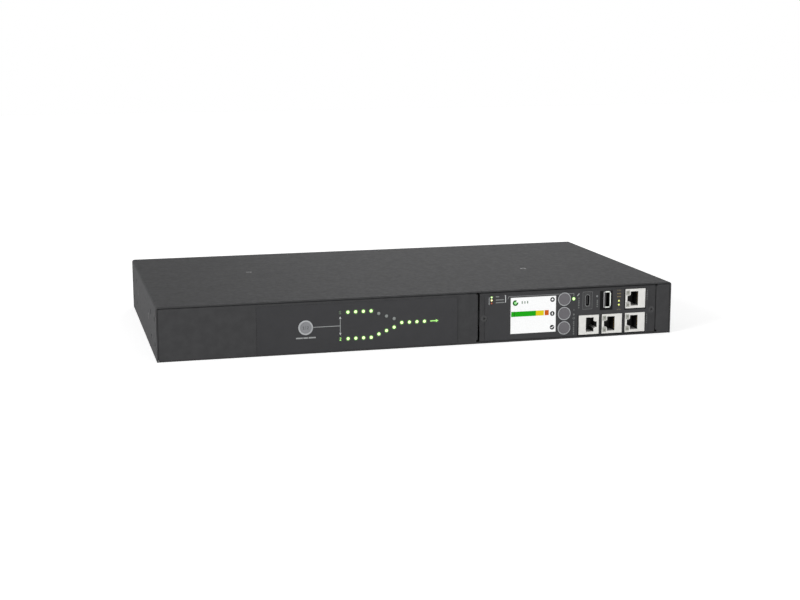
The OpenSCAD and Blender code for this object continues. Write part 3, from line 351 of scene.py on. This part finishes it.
class Print:
    """Flat shapes in the XZ plane, each a thin plate that stands on a surface facing -Y."""

    def __init__(self, y, thickness=PRINT_T):
        self.bm = bmesh.new()
        self.y = y
        self.thickness = thickness

    def outline(self, points, material=0):
        """Plate with the given outline, as (x, z) points in metres."""
        area = sum(a[0] * b[1] - b[0] * a[1] for a, b in zip(points, points[1:] + points[:1]))
        if area < 0:
            points = points[::-1]
        front = [self.bm.verts.new((x, self.y - self.thickness, z)) for x, z in points]
        back = [self.bm.verts.new((x, self.y, z)) for x, z in points]
        faces = [self.bm.faces.new(front), self.bm.faces.new(back[::-1])]
        count = len(points)
        for i in range(count):
            j = (i + 1) % count
            faces.append(self.bm.faces.new((front[j], front[i], back[i], back[j])))
        for face in faces:
            face.material_index = material
        return self

    def rect(self, x0, x1, z0, z1, material=0):
        return self.outline([(x0, z0), (x1, z0), (x1, z1), (x0, z1)], material)

    def disc(self, x, z, r, material=0, sides=ROUND):
        turn = 2 * math.pi / sides
        points = [(x + r * math.cos(i * turn), z + r * math.sin(i * turn)) for i in range(sides)]
        return self.outline(points, material)

    def arc(self, x, z, inner, outer, start=0.0, end=2 * math.pi, material=0, sides=ROUND):
        """Ring or part of a ring, as a row of short plates that share their edges."""
        steps = max(3, round(sides * (end - start) / (2 * math.pi)))
        for i in range(steps):
            a, b = (start + (end - start) * k / steps for k in (i, i + 1))
            self.outline([
                (x + inner * math.cos(a), z + inner * math.sin(a)),
                (x + outer * math.cos(a), z + outer * math.sin(a)),
                (x + outer * math.cos(b), z + outer * math.sin(b)),
                (x + inner * math.cos(b), z + inner * math.sin(b)),
            ], material)
        return self

    def stroke(self, points, width, material=0):
        """Open line through the points, with mitred corners."""
        sides = []
        for side in (1, -1):
            row = []
            for i, point in enumerate(points):
                before = points[max(i - 1, 0)]
                after = points[min(i + 1, len(points) - 1)]
                row.append(self._mitre(before, point, after, side * width / 2))
            sides.append(row)
        return self.outline(sides[0] + sides[1][::-1], material)

    @staticmethod
    def _mitre(before, point, after, offset):
        def normal(a, b):
            length = math.hypot(b[0] - a[0], b[1] - a[1])
            return (-(b[1] - a[1]) / length, (b[0] - a[0]) / length)
        first = normal(before, point) if before != point else normal(point, after)
        second = normal(point, after) if after != point else first
        total = (first[0] + second[0], first[1] + second[1])
        size = total[0] ** 2 + total[1] ** 2
        return (point[0] + 2 * offset * total[0] / size, point[1] + 2 * offset * total[1] / size)

    def piece(self, name, body, slot, materials):
        mesh = bpy.data.meshes.new(name)
        bmesh.ops.recalc_face_normals(self.bm, faces=self.bm.faces)
        self.bm.to_mesh(mesh)
        self.bm.free()
        return piece_from(name, mesh, body, materials)


# ---------- Lit lenses ----------

LIT_GREEN = lens("lit_green_core", srgb(205, 240, 165), 0.95, srgb(214, 246, 172))
GREEN_RIM = lens("lit_green_rim", srgb(70, 140, 40), 0.55, srgb(96, 176, 52))
UNLIT = lens("unlit_core", srgb(132, 136, 134), roughness=0.3)
UNLIT_RIM = lens("unlit_rim", srgb(86, 90, 88), roughness=0.35)
SMOKE = lens("smoked_window", srgb(38, 42, 38), roughness=0.3)
AMBER_LIT = lens("lit_yellow_core", srgb(255, 250, 190), 1.0, srgb(255, 250, 186))
AMBER_RIM = lens("lit_yellow_rim", srgb(140, 130, 40), 0.5, srgb(160, 150, 50))
RED_DIM = lens("dim_red_core", srgb(150, 76, 52), 0.25, srgb(150, 70, 44))
RED_RIM = lens("dim_red_rim", srgb(84, 40, 30), roughness=0.35)
LIME_LIT = lens("lit_lime_core", srgb(214, 222, 130), 0.75, srgb(214, 222, 120))
LIME_RIM = lens("lit_lime_rim", srgb(112, 116, 34), 0.3, srgb(120, 126, 30))


def lens_mesh(bm, box, core, rim, dome=0.12 * MM, sides=32):
    """Light guide along Y with a low dome on its front: a bright core inside a coloured rim."""
    centre = middle(box)
    radius = (box[1].x - box[0].x) / 2
    rings = [(1.0, 0.0), (0.93, 0.35), (0.78, 0.72), (0.62, 0.9), (0.3, 1.0)]
    stations = [(radius, box[1].y)]
    stations += [(radius * share, box[0].y + dome * (1 - rise)) for share, rise in rings]
    rows = []
    for r, y in stations:
        rows.append([
            bm.verts.new((centre.x + r * math.cos(a), y, centre.z + r * math.sin(a)))
            for a in (2 * math.pi * k / sides for k in range(sides))
        ])
    back = bm.faces.new(rows[0])
    back.material_index = rim
    for index, (near, far) in enumerate(zip(rows, rows[1:])):
        for k in range(sides):
            j = (k + 1) % sides
            face = bm.faces.new((near[k], near[j], far[j], far[k]))
            face.material_index = core if index > 2 else rim
            face.smooth = True
    tip = bm.faces.new(rows[-1])
    tip.material_index = core


def lens_piece(name, node, materials, choose):
    """Replaces a node of round light guides; choose gives each one's (core, rim) material indices."""
    bm = bmesh.new()
    for index, box in enumerate(islands(node)):
        core, rim = choose(index, box)
        lens_mesh(bm, box, core, rim)
    bmesh.ops.recalc_face_normals(bm, faces=bm.faces)
    mesh = bpy.data.meshes.new(name)
    bm.to_mesh(mesh)
    bm.free()
    piece = piece_from(name, mesh, "chassis", materials)
    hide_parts(node)
    return piece


source_1 = islands("source_1_lenses")
source_2 = islands("source_2_lenses")
outputs = islands("output_lenses")
row_z = max(middle(b).z for b in source_1)
LIT_PAIR = [LIT_GREEN, GREEN_RIM, UNLIT, UNLIT_RIM]


def lit_in_row(index, box):
    return (0, 1) if middle(box).z > row_z - 1 * MM else (2, 3)


lens_piece("source_1_light_guides", "source_1_lenses", LIT_PAIR, lit_in_row)
lens_piece("source_2_light_guides", "source_2_lenses", LIT_PAIR[:2], lambda i, b: (0, 1))
lens_piece("output_light_guides", "output_lenses", LIT_PAIR[:2], lambda i, b: (0, 1))

status = sorted(islands("status_lenses"), key=lambda b: -b[0].z)
STATUS = [LIT_GREEN, GREEN_RIM, AMBER_LIT, AMBER_RIM, RED_DIM, RED_RIM]


def status_pair(index, box):
    place = min(range(len(status)), key=lambda k: abs(middle(status[k]).z - middle(box).z))
    return (2 * place, 2 * place + 1)


lens_piece("status_light_guides", "status_lenses", STATUS, status_pair)

links = islands("link_lenses")
power_light = max(links, key=lambda b: b[1].x - b[0].x)


def link_pair(index, box):
    return (0, 1) if box[1].x - box[0].x > 2.4 * MM else (2, 3)


LINK = [LIT_GREEN, GREEN_RIM, LIME_LIT, LIME_RIM]
lens_piece("link_light_guides", "link_lenses", LINK, link_pair)
nodes["legend_lenses"].data.materials.clear()
nodes["legend_lenses"].data.materials.append(SMOKE)


# ---------- Print on the flow overlay ----------

WHITE_INK = ink("white_ink", srgb(214, 216, 216))
GREY_INK = ink("grey_ink", srgb(150, 152, 152))
SOFT_INK = ink("soft_ink", srgb(122, 124, 124))
DIM_INK = ink("dim_ink", srgb(92, 94, 93))
FAINT_INK = ink("faint_ink", srgb(74, 75, 75))
BROWN_INK = ink("brown_ink", srgb(84, 74, 52))
# Near-black ink: a dark field under the USB-A port, and painted shade in the gaps round the jacks
PORT_FIELD_AND_SHADE_INK = ink("dark_field_and_painted_shade", srgb(14, 14, 15), 0.6, specular=0.1)
PORT_EDGE = metal("usb_a_edge", srgb(206, 210, 204), 0.4)
WINDOW_FRAME = moulded("jack_window_frame", srgb(168, 168, 162), 0.4)
WINDOW_CORE = moulded("jack_window_core", srgb(126, 128, 118), 0.35)
DARK_INK = ink("dark_ink", srgb(70, 72, 76))
GREEN_INK = ink("lit_green_legend", srgb(150, 214, 110), glow=0.7)
HALO_INK = ink("light_halo", srgb(50, 66, 42), glow=0.35)
DIM_GREEN_INK = ink("dim_green_legend", srgb(96, 116, 92))
YELLOW_INK = ink("yellow_brown_ink", srgb(116, 100, 58))

face_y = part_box("flow_overlay")[0].y
legends = islands("legend_lenses")
letter_boxes = sorted([b for b in legends if b[1].x - b[0].x < 4 * MM], key=lambda b: -b[0].z)
output_box = max(legends, key=lambda b: b[1].x - b[0].x)
bezel_lo, bezel_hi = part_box("preference_bezel")
line_z = middle(outputs[0]).z
arrow_x = middle(letter_boxes[0]).x


def arrow_head(sheet, x, z, size, direction, material=0):
    """Triangle that points along +Z or -Z."""
    tip = z + direction * size / 2
    base = z - direction * size / 2
    return sheet.outline([(x - size * 0.42, base), (x + size * 0.42, base), (x, tip)], material)


def numeral_one(sheet, x, z, height, material=0):
    """Plain figure 1 with a foot."""
    h, w = height, height * 0.17
    sheet.rect(x - w / 2, x + w / 2, z - h / 2, z + h / 2, material)
    sheet.outline([
        (x - w / 2, z + h / 2), (x - w / 2, z + h * 0.28),
        (x - w * 1.7, z + h * 0.12), (x - w * 1.7, z + h * 0.3)
    ], material)
    sheet.rect(x - w * 1.6, x - w / 2, z - h / 2, z - h / 2 + w, material)
    sheet.rect(x + w / 2, x + w * 1.6, z - h / 2, z - h / 2 + w, material)


def numeral_two(sheet, x, z, height, material=0):
    """Plain figure 2: a bowl, a diagonal and a foot."""
    h, w = height, height * 0.17
    r = h * 0.27
    top = z + h / 2 - r
    steps = 9
    start, end = math.radians(165), math.radians(-38)
    rim = [(x + (r - w / 2) * math.cos(a), top + (r - w / 2) * math.sin(a))
           for a in (start + (end - start) * k / steps for k in range(steps + 1))]
    sheet.stroke(rim + [(x - r + w * 0.7, z - h / 2 + w)], w, material)
    sheet.rect(x - r, x + r, z - h / 2, z - h / 2 + w, material)


def word_bar(sheet, x0, x1, z, height, material=0, breaks=(0.36, 0.62)):
    """Plain dashes in the place of a word."""
    gap = height * 0.45
    edges = [x0] + [x0 + (x1 - x0) * b for b in breaks] + [x1]
    for left, right in zip(edges, edges[1:]):
        sheet.rect(left + gap / 2, right - gap / 2, z - height / 2, z + height / 2, material)


def word_column(sheet, x, z0, z1, width, parts, material=0):
    """Plain dashes stacked in the place of a word that reads upward."""
    step = (z1 - z0) / parts
    for k in range(parts):
        length = step * (0.62 + 0.12 * (k % 3))
        sheet.rect(x - width / 2, x + width / 2, z0 + k * step, z0 + k * step + length, material)


def field_frame(sheet, inner, widths, material=0):
    """Four plates round a rectangle, given the widths to its left, right, bottom and top."""
    x0, x1, z0, z1 = inner
    left, right, below, above = widths
    sheet.rect(x0 - left, x0, z0 - below, z1 + above, material)
    sheet.rect(x1, x1 + right, z0 - below, z1 + above, material)
    sheet.rect(x0, x1, z0 - below, z0, material)
    sheet.rect(x0, x1, z1, z1 + above, material)


flow_print = Print(face_y)
flow_print.rect(bezel_hi.x + 0.25 * MM, arrow_x - 0.3 * MM, line_z - 0.28 * MM, line_z + 0.28 * MM, 1)
flow_print.rect(arrow_x - 0.25 * MM, arrow_x + 0.25 * MM, line_z - 6.2 * MM, line_z + 6.2 * MM, 1)
for direction in (-1, 1):
    arrow_head(flow_print, arrow_x, line_z + direction * 6.7 * MM, 2.0 * MM, direction, 0)
bezel_x = middle((bezel_lo, bezel_hi)).x
word_bar(flow_print, bezel_x - 8.1 * MM, bezel_x + 8.3 * MM, line_z - 8.35 * MM, 1.15 * MM, 1)
flow_print.piece("flow_print", "chassis", "overlay_film", [WHITE_INK, GREY_INK])

legend_print = Print(face_y)
numeral_one(legend_print, middle(letter_boxes[0]).x, middle(letter_boxes[0]).z, 2.6 * MM, 0)
numeral_two(legend_print, middle(letter_boxes[1]).x, middle(letter_boxes[1]).z, 2.6 * MM, 1)
out = middle(output_box)
half = (output_box[1].x - output_box[0].x) / 2 - 0.3 * MM
shaft, head = 0.42 * MM, 1.25 * MM
legend_print.outline([
    (out.x - half, out.z - shaft), (out.x + half - 2.2 * MM, out.z - shaft),
    (out.x + half - 2.2 * MM, out.z - head), (out.x + half, out.z),
    (out.x + half - 2.2 * MM, out.z + head), (out.x + half - 2.2 * MM, out.z + shaft),
    (out.x - half, out.z + shaft)
], 1)
legend_print.piece("legend_print", "chassis", "legend_light", [DIM_GREEN_INK, GREEN_INK])

# Painted glow: a faint green ring shines on the film round each lit lens
halo_print = Print(face_y, 0.015 * MM)
lit = [b for b in source_1 if middle(b).z > row_z - 1 * MM] + source_2 + outputs
for box in lit:
    r = (box[1].x - box[0].x) / 2
    halo_print.arc(middle(box).x, middle(box).z, r + 0.06 * MM, r + 0.6 * MM)
halo_print.piece("light_halos", "chassis", "overlay_film", [HALO_INK])

# Glyph on the preference key: the two sources with a bar between them
key_lo, key_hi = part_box("preference_cap")
glyph = Print(key_lo.y, 0.02 * MM)
key = middle((key_lo, key_hi))
numeral_one(glyph, key.x - 1.7 * MM, key.z, 2.4 * MM)
numeral_two(glyph, key.x + 1.7 * MM, key.z, 2.4 * MM)
glyph.rect(key.x - 0.14 * MM, key.x + 0.14 * MM, key.z - 1.5 * MM, key.z + 1.5 * MM)
glyph.piece("preference_glyph", "preference_button", "preference_key", [DARK_INK])


# ---------- Print on the module overlay ----------

module_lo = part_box("module_overlay")[0]
screen_lo, screen_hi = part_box("lcd_window")
status_mid = middle(status[1])
port_a = middle(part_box("usb_a_port"))
port_c = middle(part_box("usb_c_port"))
mid_nav = middle(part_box("scroll_cap"))
link_top = max((b for b in links if b is not power_light), key=lambda b: b[0].z)
power_mid = middle(power_light)

module_print = Print(module_lo.y)
# Brackets and bars beside the status lights
low, high = middle(status[2]).z - 1.0 * MM, middle(status[0]).z + 0.1 * MM
module_print.rect(status_mid.x - 2.4 * MM, status_mid.x - 1.8 * MM, low, high, 1)
for k, (length, up) in enumerate(((2.8, 0.35), (6.9, 0.15), (7.1, 0.4))):
    z = middle(status[k]).z + up * MM
    module_print.rect(status_mid.x + 3.6 * MM, status_mid.x + (3.6 + length) * MM,
                      z - 0.4 * MM, z + 0.4 * MM, 2)
right_x = status_mid.x + 12 * MM
module_print.rect(right_x - 0.3 * MM, right_x + 0.3 * MM, middle(status[2]).z + 0.2 * MM,
                  middle(status[0]).z + 1.3 * MM, 0)
for z in (middle(status[2]).z + 0.2 * MM, middle(status[0]).z + 1.3 * MM):
    module_print.rect(right_x - 1.3 * MM, right_x - 0.3 * MM, z - 0.15 * MM, z + 0.15 * MM, 2)
# Line from the brackets over the screen to the power light
over_z = screen_hi.z + 1.25 * MM
module_print.stroke([
    (right_x + 2.0 * MM, status_mid.z + 0.4 * MM), (right_x + 2.8 * MM, over_z),
    (power_mid.x, over_z), (power_mid.x, power_mid.z + 2.2 * MM)
], 0.42 * MM, 2)
# Marks beside the power light and over the USB-C port
module_print.stroke([
    (power_mid.x + 3.0 * MM, power_mid.z + 2.4 * MM), (power_mid.x + 4.9 * MM, power_mid.z + 4.2 * MM)
], 0.85 * MM, 1)
word_column(module_print, power_mid.x + 4.5 * MM, power_mid.z - 8.3 * MM, power_mid.z + 1.4 * MM,
            1.15 * MM, 5, 3)
# Column beside the lower navigation keys
column_x = power_mid.x + 0.3 * MM
arrow_head(module_print, column_x, mid_nav.z + 2.8 * MM, 1.4 * MM, 1, 3)
module_print.outline([
    (column_x - 1.1 * MM, mid_nav.z - 1.3 * MM), (column_x, mid_nav.z - 2.4 * MM),
    (column_x + 1.1 * MM, mid_nav.z - 1.3 * MM), (column_x, mid_nav.z - 0.2 * MM)
], 3)
module_print.arc(column_x, mid_nav.z - 4.4 * MM, 0.55 * MM, 1.0 * MM, material=3, sides=24)
word_column(module_print, column_x, mid_nav.z - 18.3 * MM, mid_nav.z - 6.2 * MM, 1.1 * MM, 7, 3)
# Label between the USB ports
label_x = (port_a.x + port_c.x) / 2 + 0.1 * MM
module_print.disc(label_x - 0.3 * MM, port_a.z + 3.2 * MM, 0.85 * MM, 2, 24)
word_column(module_print, label_x, port_a.z - 6.1 * MM, port_a.z + 0.8 * MM, 1.2 * MM, 4, 3)
# Bars over the link lights, and the caption under them
link_mid = middle(link_top)
link_half = 1.9 * MM
for up, height, ink_index, breaks in (
        (9.0, 0.95, 5, (0.3, 0.68)), (6.2, 0.95, 4, (0.3, 0.68)),
        (3.6, 0.95, 4, (0.3, 0.68)), (-7.3, 0.8, 5, (0.5,))):
    word_bar(module_print, link_mid.x - link_half, link_mid.x + link_half, link_mid.z + up * MM,
             height * MM, ink_index, breaks)
# Captions along the right edge of the jacks
for name in ("network_jack", "serial_jack"):
    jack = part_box(name)
    z = middle(jack).z
    word_column(module_print, jack[1].x + 1.6 * MM, z - 1.5 * MM, z + 7.2 * MM, 0.9 * MM, 5, 6)
module_print.piece("module_print", "chassis", "overlay_film",
                   [WHITE_INK, GREY_INK, SOFT_INK, DIM_INK, YELLOW_INK, BROWN_INK, FAINT_INK])

# Dark field under the USB-A port, and painted shade round the jacks, widest along their left and bottom edges
# where the gap and its shadow show
fields = Print(module_lo.y, 0.015 * MM)
pa_lo, pa_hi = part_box("usb_a_port")
field_frame(fields, (pa_lo.x, pa_hi.x, pa_lo.z, pa_hi.z), (3.4 * MM, 2.2 * MM, 2.3 * MM, 0.9 * MM), 0)
# Painted shade: a near-black frame round each jack, widest on the left and below
for name in JACKS:
    low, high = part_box(name)
    clear = 0.16 * MM
    field_frame(fields, (low.x - clear, high.x + clear, low.z - clear, high.z + clear),
                (0.85 * MM, 0.4 * MM, 0.85 * MM, 0.12 * MM), 0)
fields.piece("port_fields_and_painted_shade", "chassis", "overlay_film", [PORT_FIELD_AND_SHADE_INK])

# Bright edges of the USB-A shell, on three sides
edges = Print(pa_lo.y, 0.03 * MM)
edges.rect(pa_hi.x - 0.4 * MM, pa_hi.x + 0.45 * MM, pa_lo.z + 1.1 * MM, pa_hi.z - 1.1 * MM)
for z in (pa_lo.z + 0.1 * MM, pa_hi.z - 0.1 * MM):
    edges.rect(pa_lo.x + 1.3 * MM, pa_hi.x - 0.7 * MM, z - 0.45 * MM, z + 0.45 * MM)
edges.piece("usb_a_edges", "chassis", "usb_a_shell", [PORT_EDGE])

# Windows of the indicator lights in the corners of three jacks
windows = Print(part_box("network_jack")[0].y, 0.02 * MM)
for name in LIT_JACKS:
    low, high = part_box(name)
    for z0, z1 in ((high.z - 5.4 * MM, high.z - 1.2 * MM), (low.z + 1.2 * MM, low.z + 5.4 * MM)):
        windows.rect(low.x + 0.7 * MM, low.x + 4.0 * MM, z0, z1, 0)
windows.piece("jack_windows", "chassis", "jack_shell", [WINDOW_FRAME])
cores = Print(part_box("network_jack")[0].y - 0.02 * MM, 0.02 * MM)
for name in LIT_JACKS:
    low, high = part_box(name)
    for z in (high.z - 2.9 * MM, low.z + 2.9 * MM):
        cores.rect(low.x + 1.6 * MM, low.x + 3.3 * MM, z - 0.9 * MM, z + 0.9 * MM, 0)
cores.piece("jack_window_cores", "chassis", "jack_shell", [WINDOW_CORE])

# Frame lines round the USB-C port, and the rim of its mouth
port_frame = Print(module_lo.y, 0.02 * MM)
w, h, t = 4.3 * MM, 7.5 * MM, 0.4 * MM
for x0, x1, z0, z1 in (
        (-w, w, h - t, h), (-w, w, -h, t - h), (-w, t - w, t - h, h - t), (w - t, w, t - h, h - t)):
    port_frame.rect(port_c.x + x0, port_c.x + x1, port_c.z + z0, port_c.z + z1)
port_frame.piece("usb_c_frame_line", "chassis", "overlay_film", [DIM_INK])
rim = Print(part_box("usb_c_port")[0].y, 0.02 * MM)
r, straight, half_line = 1.7 * MM, 2.95 * MM, 0.2 * MM
for side in (-1, 1):
    line_x = port_c.x + side * (r + half_line)
    rim.rect(line_x - half_line, line_x + half_line, port_c.z - straight, port_c.z + straight)
    start = 0 if side > 0 else math.pi
    rim.arc(port_c.x, port_c.z + side * straight, r, r + 2 * half_line, start, start + math.pi, sides=28)
rim.piece("usb_c_mouth_rim", "chassis", "usb_c_shell", [SOFT_INK])


# ---------- Screen picture ----------

SCREEN_GREEN = ink("screen_green", srgb(18, 138, 10), 0.5, glow=0.5, specular=0.1)
SCREEN_YELLOW = ink("screen_yellow", srgb(190, 172, 16), 0.5, glow=0.5, specular=0.1)
SCREEN_ORANGE = ink("screen_orange", srgb(170, 76, 10), 0.5, glow=0.5, specular=0.1)
SCREEN_BLACK = ink("screen_black", srgb(16, 16, 16), 0.4, specular=0.1)
SCREEN_GREY = ink("screen_grey", srgb(96, 118, 98), 0.4, glow=0.25)
SCREEN_LIGHT = ink("screen_light", srgb(190, 191, 191), 0.35, glow=0.9)
SCREEN_DARK_GREEN = ink("screen_dark_green", srgb(18, 84, 16), 0.35, glow=0.4, specular=0.1)
SCREEN_PALE_GREEN = ink("screen_pale_green", srgb(124, 190, 118), 0.35, glow=0.6)

picture = Print(screen_lo.y, 0.02 * MM)
centre = middle((screen_lo, screen_hi))
# Ring with a tick
ring_x, ring_z = screen_lo.x + 4.0 * MM, screen_hi.z - 4.4 * MM
picture.arc(ring_x, ring_z, 1.15 * MM, 2.4 * MM, math.radians(62), math.radians(360 + 12), 3)
picture.disc(ring_x, ring_z, 1.15 * MM, 4, 24)
# Small figures beside it
for k in range(3):
    x = screen_lo.x + (9.4 + 2.35 * k) * MM
    picture.rect(x, x + 0.9 * MM, ring_z - 0.8 * MM, ring_z + 1.3 * MM, 5)
# Load bar
bar_low, bar_high = centre.z - 0.85 * MM, centre.z + 3.45 * MM
for left, right, shade in (
        (0.35, 2.9, 0), (2.9, 3.35, 3), (3.35, 21.9, 0), (21.9, 28.9, 1), (29.6, 33.2, 2)):
    picture.rect(screen_lo.x + left * MM, screen_lo.x + right * MM, bar_low, bar_high, shade)
picture.piece("screen_picture", "chassis", "screen_glass",
              [SCREEN_GREEN, SCREEN_YELLOW, SCREEN_ORANGE, SCREEN_DARK_GREEN, SCREEN_PALE_GREEN, SCREEN_GREY])

icon_x = screen_hi.x - 3.1 * MM
icon_zs = [screen_hi.z - down * MM for down in (3.0, 14.8, 26.4)]
icons = Print(screen_lo.y, 0.03 * MM)
for z in icon_zs:
    icons.disc(icon_x, z, 2.0 * MM, 0, 32)
icons.piece("screen_icon_discs", "chassis", "screen_glass", [SCREEN_BLACK])

# Signs: a small house, an upright pointer and a tick
signs = Print(screen_lo.y - 0.03 * MM, 0.02 * MM)
menu_z, scroll_z, select_z = icon_zs


def around(z, *offsets):
    """Points given in millimetres from the middle of the icon at height z."""
    return [(icon_x + right * MM, z + up * MM) for right, up in offsets]


signs.outline(around(menu_z, (-0.95, 0.1), (-0.6, -0.7), (0.6, -0.7), (0.95, 0.1), (0, 1.1)))
signs.outline(around(
    scroll_z, (0, -1.3), (0.5, -0.5), (0.5, 0.5), (0, 1.3), (-0.5, 0.5), (-0.5, -0.5)))
signs.stroke(around(select_z, (-1.2, 0.1), (-0.2, -0.5), (1.3, 0.9)), 0.65 * MM)
signs.piece("screen_signs", "chassis", "screen_glass", [SCREEN_LIGHT])


# ---------- Stage ----------

FLOOR_SHADE = 0.82
FLOOR_GLOW = 0.6
GLOW_NEAR, GLOW_FAR = 0.35, 1.1
FLOOR_SIZE = 6.0
WORLD_LIGHT = 0.3
WHITE = (1, 1, 1, 1)


def background_rays(tree):
    """1 for the rays that meet the white background: camera, glossy and transmission rays."""
    path = tree.nodes.new("ShaderNodeLightPath")
    seen = path.outputs["Is Camera Ray"]
    for output in ("Is Glossy Ray", "Is Transmission Ray"):
        larger = tree.nodes.new("ShaderNodeMath")
        larger.operation = "MAXIMUM"
        tree.links.new(seen, larger.inputs[0])
        tree.links.new(path.outputs[output], larger.inputs[1])
        seen = larger.outputs["Value"]
    return seen


def stage_material():
    """White floor that takes the shadow; its glow grows away from the object to meet the background."""
    material = bpy.data.materials.new("studio_floor")
    material.use_nodes = True
    tree = material.node_tree
    bsdf = tree.nodes["Principled BSDF"]
    bsdf.inputs["Base Color"].default_value = (FLOOR_SHADE, FLOOR_SHADE, FLOOR_SHADE, 1)
    bsdf.inputs["Roughness"].default_value = 0.9
    bsdf.inputs["Specular IOR Level"].default_value = 0.1
    place = tree.nodes.new("ShaderNodeNewGeometry")
    away = tree.nodes.new("ShaderNodeVectorMath")
    away.operation = "LENGTH"
    tree.links.new(place.outputs["Position"], away.inputs[0])
    glow = tree.nodes.new("ShaderNodeMapRange")
    glow.inputs["From Min"].default_value = GLOW_NEAR
    glow.inputs["From Max"].default_value = GLOW_FAR
    glow.inputs["To Min"].default_value = FLOOR_GLOW
    glow.inputs["To Max"].default_value = 1.0
    tree.links.new(away.outputs["Value"], glow.inputs["Value"])
    product = tree.nodes.new("ShaderNodeMath")
    product.operation = "MULTIPLY"
    tree.links.new(background_rays(tree), product.inputs[0])
    tree.links.new(glow.outputs["Result"], product.inputs[1])
    bsdf.inputs["Emission Color"].default_value = WHITE
    tree.links.new(product.outputs["Value"], bsdf.inputs["Emission Strength"])
    return material


floor_mesh = bpy.data.meshes.new("floor")
s = FLOOR_SIZE / 2
floor_mesh.from_pydata([(-s, -s, 0), (s, -s, 0), (s, s, 0), (-s, s, 0)], [], [(0, 1, 2, 3)])
floor_mesh.materials.append(stage_material())
floor = bpy.data.objects.new("floor", floor_mesh)
floor.location.z = -0.02 * MM
bpy.context.scene.collection.objects.link(floor)


def area_light(name, place, target, size, power):
    data = bpy.data.lights.new(name, "AREA")
    data.shape = "RECTANGLE"
    data.size, data.size_y = size
    data.energy = power
    lamp = bpy.data.objects.new(name, data)
    lamp.location = place
    lamp.rotation_euler = (Vector(target) - Vector(place)).to_track_quat("-Z", "Y").to_euler()
    bpy.context.scene.collection.objects.link(lamp)
    return lamp


area_light("key_lamp", (-2.0, -1.0, 0.8), (0, 0, 0), (1.2, 1.2), 36)
area_light("fill_lamp", (1.2, -2.0, 0.7), (0, 0, 0), (1.2, 1.2), 18)
area_light("back_lamp", (0.65, 1.89, 0.7), (0.05, 0, 0.044), (1.0, 0.6), 6)

world = bpy.data.worlds.new("studio")
world.use_nodes = True
background = world.node_tree.nodes["Background"]
background.inputs["Color"].default_value = WHITE
strength = world.node_tree.nodes.new("ShaderNodeMapRange")
strength.inputs["To Min"].default_value = WORLD_LIGHT
strength.inputs["To Max"].default_value = 1.0
world.node_tree.links.new(background_rays(world.node_tree), strength.inputs["Value"])
world.node_tree.links.new(strength.outputs["Result"], background.inputs["Strength"])
bpy.context.scene.world = world
bpy.context.scene.view_settings.view_transform = "Standard"

# Camera at the photograph's viewing angle: in front of the left end, looking a little down
CAMERA_PLACE = Vector((-309.17, -1234.83, 261.2)) * MM
CAMERA_YAW = math.radians(-14.485)
CAMERA_PITCH = math.radians(-10.853)
CAMERA_ROLL = math.radians(-0.12)
FOCAL_OVER_WIDTH = 1457 / 800

camera_data = bpy.data.cameras.new("camera")
camera_data.sensor_width = 36
camera_data.lens = 36 * FOCAL_OVER_WIDTH
camera_data.clip_start = 0.01
camera = bpy.data.objects.new("camera", camera_data)
camera.matrix_world = (
    Matrix.Translation(CAMERA_PLACE) @ Matrix.Rotation(CAMERA_YAW, 4, "Z")
    @ Matrix.Rotation(HALF_PI + CAMERA_PITCH, 4, "X") @ Matrix.Rotation(CAMERA_ROLL, 4, "Z")
)
bpy.context.scene.collection.objects.link(camera)
bpy.context.scene.camera = camera
